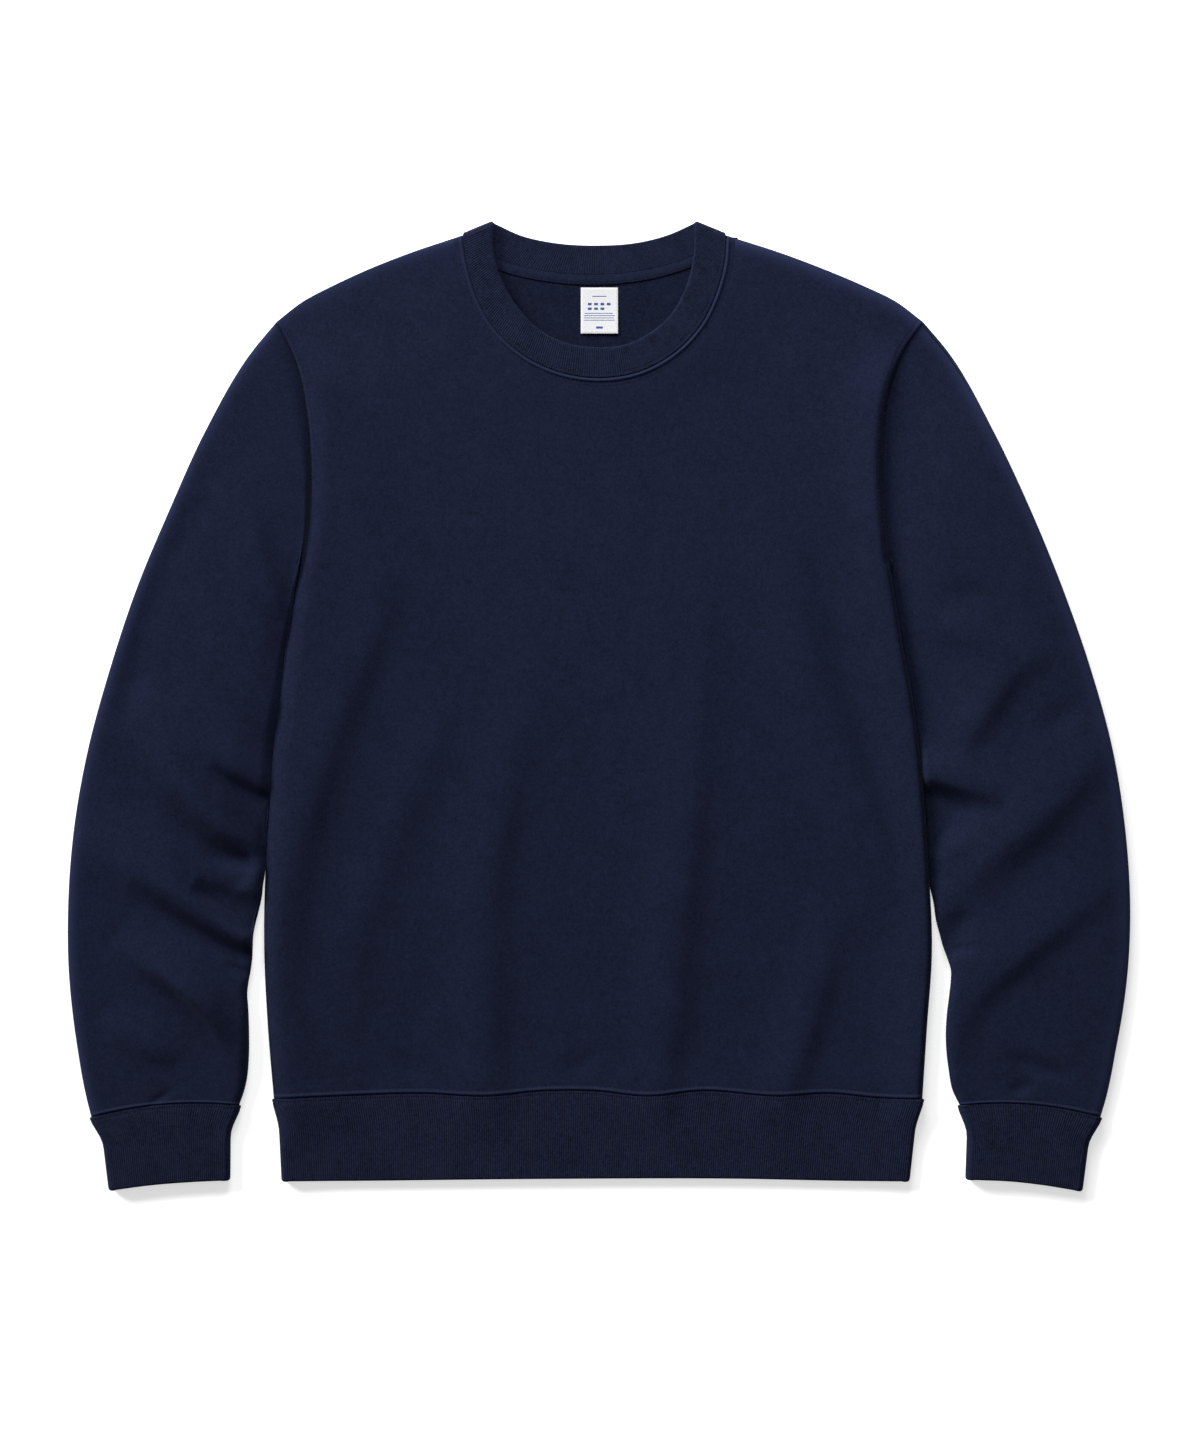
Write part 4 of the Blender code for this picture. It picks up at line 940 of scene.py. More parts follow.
def edge_turns(turns, grid, way, arm_row, neck, cut):
    """Sets the wall's direction along each edge: level at folded edges, upright at sewn ones."""
    turns[0, :] = (0, 0, way)
    turns[-1, neck[0] + 1 : neck[1]] = (0, 0, way)
    turns[: arm_row + 1, 0] = (-1, 0, 0)
    turns[: arm_row + 1, -1] = (1, 0, 0)
    along = np.gradient(grid[-1, :, :2], axis=0)
    square = unit(np.stack([-along[:, 1], along[:, 0], 0 * along[:, 0]], axis=1))
    turns[-1, 1 : neck[0]] = square[1 : neck[0]]
    turns[-1, neck[1] + 1 : -1] = square[neck[1] + 1 : -1]
    turns[-1, neck[0]] = turns[-1, neck[1]] = (0, 1, 0)
    for side, column in ((0, 0), (1, -1)):
        turns[arm_row:, column] = armhole_turn(side, cut.arm_steps(side)) * (1, 1, way)
    return turns


def panel_faces(cut, cloth):
    """A body panel's outer and inner grids, and its worn nap and painted highlight.

    The front's height is seam + (height - seam) * roll, where roll is a quarter circle from its
    folded edges, and the back's is seam * (1 - roll). The inner face is the outer one moved in by
    the fleece.
    """
    way = 1 if cut is FRONT else -1
    plan, arm_row, neck = cut.plan()
    from_side = nearest(plan, SIDE_LINES)
    from_side[: arm_row + 1, [0, -1]] = 0
    from_shoulder = nearest(plan, SHOULDER_LINES)
    from_shoulder[-1, : neck[0] + 1] = from_shoulder[-1, neck[1] :] = 0
    side_nearer = from_side / SIDE_SEAM_HEIGHT < from_shoulder / SHOULDER_SEAM_HEIGHT
    seam = np.where(side_nearer, SIDE_SEAM_HEIGHT, SHOULDER_SEAM_HEIGHT) + way * cloth.seam_gap / 2
    from_edge = np.minimum(from_side, from_shoulder)
    turn = roll(from_edge, EDGE_ROLL)
    level, wear = 0.0, 0.0
    if cut is FRONT:
        from_hem, from_arm = distance_to(plan, HEM_LINE), nearest(plan, ARM_LINES)
        # the seams' worn nap and painted highlight, with a share of it at each armhole that differs
        # by side
        share = np.where(from_arm < from_hem, np.where(plan[..., 0] < 0, *ARM_RIDGES), 1.0)
        from_seam = np.minimum(from_hem, from_arm)
        # a painted highlight along the shoulders' folded edges
        painted_rim = rim_highlight(from_shoulder, (plan[..., 0] > 0).astype(int))
        wear = np.maximum(share * seam_wear_and_highlight(from_seam), painted_rim)
        level = front_height(plan, cloth) + seam_profile(from_seam, cloth.seam_ridge * share)
        level -= NECK_SINK * bell(distance_to(plan, NECK_LINE), NECK_SINK_WIDTH)
    height = seam + (level - seam) * turn
    for side, column in ((0, 0), (1, -1)):
        edge = armhole_heights(side, cut.arm_steps(side), cloth)[0 if cut is FRONT else 1]
        if cut is FRONT:
            edge += seam_profile(0, cloth.seam_ridge) * turn[arm_row:, column]
        height[arm_row:, column] = np.maximum(edge + way * cloth.seam_gap / 2, 0)
    outer = lifted(plan, height)
    turns = edge_turns(way * normals(outer), outer, way, arm_row, neck, cut)
    inner = outer - cloth.fleece * turns
    limit = seam * (1 - ease((from_edge - EDGE_ROLL / 2) / EDGE_ROLL)) if way > 0 else seam
    kept = np.maximum(inner[..., 2], limit) if way > 0 else np.minimum(inner[..., 2], limit)
    inner[..., 2] = np.where(from_edge < INNER_CLEAR, kept, inner[..., 2])
    return outer, inner, wear


def front_surface(points, cloth):
    """The front's outer surface away from its sewn edges, at any points in plan."""
    from_side, from_shoulder = nearest(points, SIDE_LINES), nearest(points, SHOULDER_LINES)
    side_nearer = from_side / SIDE_SEAM_HEIGHT < from_shoulder / SHOULDER_SEAM_HEIGHT
    seam = np.where(side_nearer, SIDE_SEAM_HEIGHT, SHOULDER_SEAM_HEIGHT)
    turn = roll(np.minimum(from_side, from_shoulder), EDGE_ROLL)
    return seam + (front_height(points, cloth) - seam) * turn, turn


def make_panel(cut, name, node, materials, cloth):
    """One body panel as a closed wall."""
    outer, inner, wear = panel_faces(cut, cloth)
    shell = Shell()
    wall(shell, outer, inner, outer[..., :2], wear=wear)
    return attach(shell.finish(name, *materials), [node])


def neck_ridge(material, cloth):
    """The cloth over the collar seam's allowance: the seam profile carried along the neckline."""
    line = through(FRONT_NECK, RIDGE_ALONG)
    steps = np.array(RIDGE_STEPS)
    plan = np.stack([moved(line, step) for step in steps])
    base, turn = front_surface(plan, cloth)
    drop = RIDGE_DROP * ease((steps - RIDGE_DROP_FROM) / RIDGE_DROP_OVER)
    over = seam_profile(steps, cloth.seam_ridge) + RIDGE_LIFT - drop
    top = lifted(plan, base + over[:, None] * turn)
    uv = np.stack(np.broadcast_arrays(run_of(line), steps[:, None]), axis=-1)
    shell = Shell()
    # worn nap and a painted highlight along the ridge
    wall(shell, top, top - (0, 0, RIDGE_THICK), uv, wear=seam_wear_and_highlight(steps)[:, None])
    return attach(shell.finish("neck_ridge", material))


# ---------------------------------------------------------------- sleeves


def tucked(side, y, more=0.0):
    """How far a sleeve is tucked under the body at heights y, from 0 to 1; `more` ends it lower."""
    starts = ease((UNDERARM_Y - y) / TUCK_STARTS)
    return starts * ease((y - SLEEVE_LEAVES_Y[side] + more) / (TUCK_ENDS + more))


def sleeve_lines(side):
    """A sleeve's outer and inner edges, each from the armhole to the cuff seam."""
    ys = np.linspace(UNDERARM_Y, SLEEVE_LEAVES_Y[side], BESIDE_ROWS)
    clear = OUTWARD[side] * (SLEEVE_CLEAR - (SLEEVE_CLEAR + SLEEVE_TUCK) * tucked(side, ys))
    beside = body_edge(side, ys) + np.stack([clear, 0 * ys], axis=1)
    return SLEEVE_OUTER[side], np.concatenate([beside, SLEEVE_INNER[side]])


def sleeve_across(side):
    """Fractions across a sleeve from its inner edge: over the front, and back under it."""
    long = armhole(side, FINE)[2]
    over = stations(long, SLEEVE_TOP_STEPS, SLEEVE_TOP_COLUMNS)
    below = stations(long, SLEEVE_UNDER_STEPS, SLEEVE_UNDER_COLUMNS)
    return over, below[-2:0:-1]


def cuff_seam(side, across):
    """Points on a cuff's seam, which bows up between the ends of the sleeve's two edges."""
    outer_edge, inner_edge = sleeve_lines(side)
    inn, out = np.array(inner_edge[-1]), np.array(outer_edge[-1])
    line = inn + (out - inn) * across[:, None]
    line[:, 1] += SLEEVE_SEAM_BOW * 4 * across * (1 - across)
    return line


def sleeve_plan(side, along, across, over, cloth):
    """The plan of a sleeve's rings: the armhole, straight across the arm, then the cuff seam."""
    outer_edge, inner_edge = sleeve_lines(side)
    out, inn = through(outer_edge, along), through(inner_edge, along)
    hole, _, _ = armhole(side, across)
    share = across[:, None]
    bow = hole - hole[0] - (hole[len(over) - 1] - hole[0]) * share
    curved = (1 - ease(along / ARMHOLE_FADE))[:, None, None]
    plan = inn[:, None] + (out - inn)[:, None] * share + bow * curved
    cuff_bow = ease((along - CUFF_BOW_FROM) / (1 - CUFF_BOW_FROM))
    plan[..., 1] += SLEEVE_SEAM_BOW * cuff_bow[:, None] * 4 * across * (1 - across)
    outward = OUTWARD[side]
    upper = hole[: len(over)]
    clear = moved(upper, outward * cloth.seam_gap) - upper
    plan[0] = hole + np.stack([np.interp(across, over, clear[:, k]) for k in (0, 1)], axis=1)
    ends = plan[-1, : len(over)]
    for line, near in ((upper, along), (ends, 1 - along)):
        shift = under(line, outward * UNDER_SHIFT) - line
        shift = np.stack([np.interp(across, over, shift[:, k]) for k in (0, 1)], axis=1)
        fade = (1 - ease(near / UNDER_SHIFT_FADE))[:, None, None]
        plan[:, len(over) :] += shift[None, len(over) :] * fade
    return plan, hole, inn


def sleeve_faces(side, cloth):
    """A sleeve's outer and inner rings, their uv, their worn nap and painted highlight, and the
    columns of their upper half.

    Its height over the front is seam + (crest - seam) * rise, where the rise is a quarter circle
    from each folded edge, held low beside the body, and under it seam * (1 - quarter circle).
    """
    outer_long = length_of(SLEEVE_OUTER[side])
    along = stations(outer_long, SLEEVE_START_STEPS, SLEEVE_ROWS, EDGE_STEPS)
    over, below = sleeve_across(side)
    across = np.concatenate([over, below])
    top = np.arange(len(across)) < len(over)
    plan, hole, inn = sleeve_plan(side, along, across, over, cloth)

    far, near = plan[:, len(over) - 1], plan[:, 0]
    long = np.linalg.norm(far - near, axis=1)[:, None]
    long[0] = armhole(side, FINE)[2]
    from_inner, from_outer = across[None] * long, (1 - across)[None] * long
    from_end = np.minimum(from_inner, from_outer)
    turn = roll(from_end, (EDGE_ROLL + SLEEVE_ROLL * ease(along / ROLL_FADE))[:, None])
    beside = tucked(side, inn[:, 1], SLEEVE_STAYS_LOW[side])[:, None]
    slope, lowest = SLEEVE_SLOPES[side]
    low = lowest + (1 - lowest) * ease(from_inner / slope)
    rise = turn * (1 - beside * (1 - low))
    settle = ease(along / HEIGHT_FADE)[:, None]
    start = SIDE_SEAM_HEIGHT + (SHOULDER_SEAM_HEIGHT - SIDE_SEAM_HEIGHT) * across[None]
    drop = CUFF_FOLD_DROP * ease((along[:, None] - CUFF_DROP_FROM) / (1 - CUFF_DROP_FROM))
    seam = start + (SLEEVE_FOLD_HEIGHT - start) * settle - drop
    held = beside * (1 - ease(from_inner / SLEEVE_TUCK_REACHES[side]))
    seam = seam + (SLEEVE_TUCK_HEIGHT - seam) * held
    dome = SLEEVE_DOME * (1 - ease((along - CUFF_BOW_FROM) / (1 - CUFF_BOW_FROM)))
    crest = smooth(along, *np.array(SLEEVE_TOP).T)[:, None]
    crest = crest + dome[:, None] * 4 * across * (1 - across)
    crest = front_height(hole, cloth)[None] * (1 - settle) + crest * settle
    height = np.where(top, seam + (crest - seam) * rise, seam * (1 - turn))
    height[0] += np.where(top, cloth.seam_gap / 2, -cloth.seam_gap / 2) * (from_end[0] > 0)
    from_cuff = (1 - along) * outer_long
    height += seam_profile(from_cuff, cloth.seam_ridge)[:, None] * (top * turn)
    from_arm = along * outer_long
    change, reach, gone = SLEEVE_STARTS[side]
    lift = cloth.folds * folds(plan, SLEEVE_FOLDS[side])
    lift *= ease(from_arm / SLEEVE_LIFT_FADE)[:, None]
    start = change * (1 - (1 - np.clip(from_arm / reach, 0, 1)) ** 2)
    start *= 1 - ease(from_arm / gone)
    lift += start[:, None]
    height = folded(height, TWO_LAYERS * turn, lift * (top * turn))
    height -= ARM_GROOVE * bell(from_arm, ARM_GROOVE_WIDTH)[:, None] * (top * turn)
    height = np.maximum(height, 0)
    outer = lifted(plan, height)

    turns = normals(outer, ring=True)
    turns *= np.sign(turns[len(along) // 2, len(over) // 2, 2])
    front, back = armhole_turn(side, over), armhole_turn(side, below[::-1])[::-1]
    turns[0] = np.concatenate([front, back * (1, 1, -1)])
    inner = outer - cloth.fleece * turns
    width = np.append(across[: len(over)], 2 - across[len(over) :])
    width = np.append(width, 2)[None] * long.mean()
    uv = np.stack(np.broadcast_arrays(width, (along * outer_long)[:, None]), axis=-1)
    # worn nap and painted highlight over the cuff seam, and a painted highlight along the outer
    # folded edge
    wear = np.maximum(seam_wear_and_highlight(from_cuff)[:, None], rim_highlight(from_outer, side)) * top
    return outer, inner, uv, wear, len(over)


def make_sleeve(side, name, node, materials, cloth):
    """One sleeve as a closed wall."""
    outer, inner, uv, wear, _ = sleeve_faces(side, cloth)
    shell = Shell()
    wall(shell, outer, inner, uv, ring=True, wear=wear)
    return attach(shell.finish(name, *materials), [node])


# ---------------------------------------------------------------- ribbed bands


class Band:
    """A ribbed band: a flattened ring between a sewn edge and a turned one, with ribs across it.

    Its middle surface runs straight from the sewn edge to the turned one, pulled in below the seam
    at the folds. Its height is the middle of both halves plus (level - middle) * a quarter circle
    from the folds. A rib's rise is |cos(pi * run / pitch)| less its mean, faded at both edges.
    """

    def __init__(
        self, front, back, height, cloth, crown=0, waist=0, joins=False, inside_shows=False
    ):
        self.waist, self.joins = waist, joins
        self.corner = BAND_CORNER if waist else 0
        self.lines = {1: front, -1: back}
        self.cloth, self.crown, self.inside_shows = cloth, crown, inside_shows
        self.high, self.low = height - cloth.rib_cloth / 2, cloth.rib_cloth / 2
        self.reach = (self.high - self.low) / 2
        sewn, turned = self.lines[1]
        middle = len(FINE) // 2
        wide = np.linalg.norm(on_line(sewn, FINE)[middle] - on_line(turned, FINE)[middle])
        self.rows = stations(wide, BAND_STEPS, round(wide / BAND_ROW), TURN_STEPS)
        self.wide = wide

    def long(self, which):
        """The mean length of a half's two edges."""
        sewn, turned = self.lines[which]
        return (length_of(sewn) + length_of(turned)) / 2

    def steps(self, which):
        """Stations along a half: round its folds, and RIB_STEPS to each rib between them."""
        long = self.long(which)
        near = self.reach * (1 - np.cos(np.radians(BAND_TURNS)))
        ribs = RIB_STEPS * round((long - 2 * near[-1]) / self.cloth.rib_pitch)
        middle = np.linspace(near[-1], long - near[-1], ribs - 2 * (len(near) - 1) + 1)
        return np.concatenate([near[:-1], middle, (long - near[:-1])[::-1]]) / long

    def half(self, which, at):
        """Points of one half's middle surface."""
        sewn, turned = self.lines[which]
        a, b = on_line(sewn, at), on_line(turned, at)
        plan = a[None] + (b - a)[None] * self.rows[:, None, None]
        inward = self.waist * ease(self.rows / WAIST_BY) * (1 - self.rows)
        inward += self.corner * (1 - roll((1 - self.rows) * self.wide, BAND_CORNER))
        plan = plan + ((1 - 2 * at) * inward[:, None])[..., None] * unit(sewn[-1] - sewn[0])
        from_fold = np.minimum(at, 1 - at) * self.long(which)
        crown = self.crown * bell(from_fold, HEM_CROWN_REACH)
        level = self.high + crown if which == 1 else self.low
        centre = (self.high + self.crown + self.low) / 2
        rounded = roll(from_fold, (self.high - self.low) / 2)
        height = centre + (level - centre) * rounded
        if which == 1 and self.joins:
            fading = (1 - ease(self.rows / BAND_FOLD_FADE))[:, None] * rounded
            more = front_height(a, self.cloth) - BODY_HEIGHT - HEM_RISE - crown
            height = height + more * fading
        return lifted(plan, height)

    def faces(self):
        """The outer and inner rings, and their uv."""
        front, back = self.steps(1), self.steps(-1)
        middle = np.concatenate([self.half(1, front), self.half(-1, back[::-1])[:, 1:-1]], axis=1)
        turns = normals(middle, ring=True)
        turns *= np.sign(turns[0, len(front) // 2, 2])
        back_run = self.long(1) + (1 - back[::-1][1:]) * self.long(-1)
        run = np.concatenate([front * self.long(1), back_run])
        from_sewn, from_turned = self.rows * self.wide, (1 - self.rows) * self.wide
        whole = SEWN_WALL + (1 - SEWN_WALL) * roll(from_sewn, SEWN_WALL_REACH)
        half_wall = 0.5 * self.cloth.rib_cloth * whole * roll(from_turned, TURNED_REACH)
        half_wall = np.maximum(half_wall, LEAST_WALL)
        groove = RIB_GROOVE * bell(from_sewn - RIB_STITCH, RIB_GROOVE_WIDTH)
        rib = np.abs(np.cos(np.pi * run[:-1] / self.cloth.rib_pitch)) - RIB_MEAN
        fade = ease(from_sewn / RIB_STARTS) * ease(from_turned / RIB_ENDS)
        rise = self.cloth.rib_rise * rib[None] * fade[:, None]
        outer = middle + (half_wall[:, None] + rise - groove[:, None])[..., None] * turns
        inner = middle - (half_wall[:, None] + rise)[..., None] * turns
        uv = np.stack(np.broadcast_arrays(run[None], from_sewn[:, None]), axis=-1)
        return outer, inner, uv

    def make(self, name, node, material):
        """The band as a closed wall; its inner face has ribs only where it shows."""
        outer, inner, uv = self.faces()
        step = 1 if self.inside_shows else RIB_STEPS
        shell = Shell()
        a = shell.grid(outer, uv, ring=True)
        picked = np.append(np.arange(0, outer.shape[1], step), outer.shape[1])
        b = shell.grid(inner[:, picked[:-1]], uv[:, picked], ring=True)
        for end in (0, -1):
            shell.strip(np.append(a[end], a[end][0]), np.append(b[end], b[end][0]))
        return attach(shell.finish(name, material), [node])


def collar_band(cloth):
    """The crew collar: its front half on the front panel's level, its back half on the surface."""
    front = moved(through(FRONT_NECK, FINEST), -cloth.seam_gap)
    back = moved(through(BACK_NECK, FINEST), -cloth.seam_gap)
    free = through(FRONT_COLLAR_EDGE, FINEST), through(BACK_COLLAR_EDGE, FINEST)
    for end in (0, -1):
        fold = (front[end] + back[end]) / 2
        front[end] = back[end] = fold + COLLAR_FOLD_CLEAR * unit(free[0][end] - fold)
    return Band((front, free[0]), (back, free[1]), COLLAR_HEIGHT, cloth, inside_shows=True)


def hem_band(cloth):
    """The bottom band, folded at the sides."""
    sewn, turned = moved(through(HEM_SEAM, FINEST), HEM_CLEAR), through(HEM_EDGE, FINEST)
    halves = (sewn, turned), (under(sewn, UNDER_SHIFT), turned)
    return Band(*halves, HEM_HEIGHT, cloth, crown=HEM_CROWN, waist=HEM_WAIST, joins=True)


def cuff_band(side, cloth):
    """A cuff below the sleeve's end."""
    sewn = moved(cuff_seam(side, FINER), OUTWARD[side] * cloth.seam_gap)
    turned = through(CUFF_EDGE[side], FINER)
    halves = (sewn, turned), (under(sewn, OUTWARD[side] * UNDER_SHIFT), turned)
    return Band(*halves, CUFF_HEIGHT, cloth, waist=CUFF_WAIST)


# ---------------------------------------------------------------- tape, label and stitches


def tape_plan(rows):
    """The neck tape's plan: a line under the back neck, moved down by shares of its width."""
    upper = moved(through(BACK_NECK, TAPE_ALONG), TAPE_BELOW_SEAM)
    lower = moved(upper, TAPE_WIDTH - TAPE_BELOW_SEAM)
    return upper[None] * (1 - rows[:, None, None]) + lower[None] * rows[:, None, None]


def tape_height(rows, cloth):
    """The tape's top: a soft crown with a groove under both rows of stitches, and round edges."""
    groove = TAPE_GROOVE * sum(bell(rows - share, TAPE_GROOVE_WIDTH) for share in TAPE_STITCHES)
    edge = TAPE_EDGE * (1 - roll(np.minimum(rows, 1 - rows), TAPE_EDGE_REACH))
    flat = cloth.fleece + cloth.seam_gap + cloth.tape
    return flat + TAPE_CROWN * np.sin(np.pi * rows) - groove - edge


def make_tape(material, cloth):
    """The tape that covers the back neck seam."""
    rows = np.array(TAPE_ROWS)
    plan = tape_plan(rows)
    top = lifted(plan, tape_height(rows, cloth)[:, None])
    uv = np.stack(np.broadcast_arrays(run_of(plan[0]), rows[:, None] * TAPE_WIDTH), axis=-1)
    shell = Shell()
    wall(shell, top, lifted(plan, cloth.fleece + cloth.seam_gap), uv)
    return attach(shell.finish("neck_tape_cloth", material), ["neck_tape"])


def label_surface(u, v, cloth):
    """A point of the label's top: it lifts with v^2, and its sides with v * (2u - 1)^2."""
    x = LABEL_CENTRE_X + (u - 0.5) * LABEL_WIDE
    y = LABEL_TOP_Y - LABEL_TALL * v
    flat = cloth.fleece + cloth.seam_gap + cloth.label
    z = flat + LABEL_LIFT * v**2 + LABEL_CURL * v * (2 * u - 1) ** 2
    return np.stack(np.broadcast_arrays(x, y, z), axis=-1)


def make_label(material, cloth):
    """The care label, a thin woven piece with its edges folded in."""
    u, v = np.meshgrid(*(np.linspace(0, 1, count) for count in LABEL_GRID))
    top = label_surface(u, v, cloth)
    edge = np.minimum(np.minimum(u, 1 - u) * LABEL_WIDE, np.minimum(v, 1 - v) * LABEL_TALL)
    top[..., 2] -= LABEL_EDGE * (1 - roll(edge, LABEL_EDGE_REACH))
    bottom = top - (0, 0, cloth.label * LABEL_BODY)
    shell = Shell()
    wall(shell, top, bottom, top[..., :2])
    return attach(shell.finish("care_label_cloth", material), ["care_label"])


def make_marks(material, cloth):
    """Plain bars and blocks on the label, each a thin plate over the label's own surface."""
    shell = Shell()
    u, v = np.meshgrid(*(np.linspace(-0.5, 0.5, count) for count in MARK_GRID))
    for middle_u, middle_v, wide, tall in LABEL_MARKS:
        top = label_surface(middle_u + u * wide, middle_v + v * tall, cloth) + (0, 0, MARK_LIFT)
        wall(shell, top, top - (0, 0, MARK_THICK), top[..., :2])
    return attach(shell.finish("label_marks", material))


def stitch_row(line, cloth):
    """Stitches along a line: the middle and the direction of each."""
    run = run_of(line)
    count = max(int(run[-1] / (cloth.stitch + cloth.stitch_gap)), 1)
    at = (np.arange(count) + 0.5) / count
    middle = on_line(line, at)
    reach = cloth.stitch / run[-1] / 2
    along = on_line(line, np.clip(at + reach, 0, 1)) - on_line(line, np.clip(at - reach, 0, 1))
    return middle, unit(along)


def make_stitches(name, rows, material, cloth):
    """Threads as spindles along t from -1 to 1.

    Their rings have the radius (thread / 2) * sqrt(1 - t^4), and sink by thread * bend * t^6.
    """
    middle, along = (np.concatenate(parts) for parts in zip(*rows))
    side = unit(np.cross((0, 0, 1), along))
    up = np.cross(along, side)
    t = np.array(THREAD_STEPS)
    size = len(t) * THREAD_SIDES
    angle = np.radians(np.arange(THREAD_SIDES) * 360 / THREAD_SIDES)
    radius = 0.5 * cloth.thread * np.sqrt(np.maximum(1 - t**4, THREAD_END))
    sink = THREAD_BEND * cloth.thread * t**6
    x = np.broadcast_to((t * cloth.stitch / 2)[:, None], (len(t), THREAD_SIDES))
    y = radius[:, None] * np.cos(angle)
    z = radius[:, None] * np.sin(angle) - sink[:, None]
    spots = (
        middle[:, None, None]
        + x[None, ..., None] * along[:, None, None]
        + y[None, ..., None] * side[:, None, None]
        + z[None, ..., None] * up[:, None, None]
    )
    count = len(middle)
    base = (np.arange(count) * size)[:, None, None]
    ring = np.arange(size).reshape(len(t), THREAD_SIDES)
    near, far = ring, np.roll(ring, -1, axis=1)
    cells = np.stack([near[:-1], far[:-1], far[1:], near[1:]], axis=-1).reshape(-1, 4)
    # each end of a spindle, a six-sided ring, is closed by two quads
    caps = np.array([(0, 5, 4, 3), (0, 3, 2, 1), (30, 31, 32, 33), (30, 33, 34, 35)])
    shell = Shell()
    shell.points.append(spots.reshape(-1, 3))
    shell.wears.append(np.zeros(count * size))
    shell.uvs.append(spots.reshape(-1, 3)[:, :2])
    shell.quads.append((np.concatenate([cells, caps])[None] + base).reshape(-1, 4))
    shell.quad_uvs.append(shell.uvs[0][shell.quads[0]])
    return attach(shell.finish(name, material))


def sewn_part(bare):
    """Fractions along a seam, less a bare share at each end."""
    return bare + (1 - 2 * bare) * SEAM_FINE


def seam_rows(cloth):
    """Rows of stitches on the outside: two beside each seam, on the fleece and on the rib."""

    def on_front(line, share=1):
        height, turn = front_surface(line, cloth)
        depth = seam_profile(BODY_STITCH, cloth.seam_ridge * share) * turn
        return lifted(line, height + depth + STITCH_SIT)

    lines = [
        on_front(moved(through(FRONT_NECK, sewn_part(NECK_BARE)), BODY_STITCH)),
        on_front(moved(through(HEM_SEAM, sewn_part(HEM_BARE)), -BODY_STITCH)),
    ]
    for side in (0, 1):
        hole = armhole(side, sewn_part(ARM_BARE))[0]
        lines.append(on_front(moved(hole, -OUTWARD[side] * BODY_STITCH), ARM_RIDGES[side]))
        outer, _, _, _, count = sleeve_faces(side, cloth)
        row = outer[-1 - EDGE_STEPS.index(BODY_STITCH), ENDS_BARE : count - ENDS_BARE]
        lines.append(row + (0, 0, STITCH_SIT))
    for band in (collar_band(cloth), hem_band(cloth), cuff_band(0, cloth), cuff_band(1, cloth)):
        row = band.faces()[0][BAND_STEPS.index(RIB_STITCH)]
        row = row[ENDS_BARE : len(band.steps(1)) - ENDS_BARE : RIB_STEPS]
        lines.append(row + (0, 0, STITCH_SIT))
    return [stitch_row(line, cloth) for line in lines]


def tape_rows(cloth):
    """The tape's two rows of stitches."""
    shares = np.array(TAPE_STITCHES)
    lines = lifted(tape_plan(shares), tape_height(shares, cloth)[:, None] + STITCH_SIT)
    return [stitch_row(line, cloth) for line in lines]


# ---------------------------------------------------------------- finishes


def group_sockets(tree, inputs, outputs):
    """Gives a node group its named inputs, with their defaults, and outputs."""
    for name, kind, value in inputs:
        socket = tree.interface.new_socket(name=name, in_out="INPUT", socket_type=kind)
        if value is not None:
            socket.default_value = value
    for name, kind in outputs:
        tree.interface.new_socket(name=name, in_out="OUTPUT", socket_type=kind)


def set_inputs(node, values):
    """Sets a node's sockets by their names."""
    for name, value in values.items():
        node.inputs[name].default_value = value


def math_node(tree, operation, a, b=None):
    """A math node whose inputs are linked sockets or numbers; returns its output."""
    node = tree.nodes.new("ShaderNodeMath")
    node.operation = operation
    for socket, value in zip(node.inputs, (a, b)):
        if isinstance(value, bpy.types.NodeSocket):
            tree.links.new(value, socket)
        elif value is not None:
            socket.default_value = value
    return node.outputs[0]


def noise_node(tree, vector, scale, detail, roughness):
    """A noise texture's value."""
    node = tree.nodes.new("ShaderNodeTexNoise")
    tree.links.new(vector, node.inputs["Vector"])
    if isinstance(scale, bpy.types.NodeSocket):
        tree.links.new(scale, node.inputs["Scale"])
    else:
        node.inputs["Scale"].default_value = scale
    set_inputs(node, {"Detail": detail, "Roughness": roughness})
    return node.outputs["Fac"]


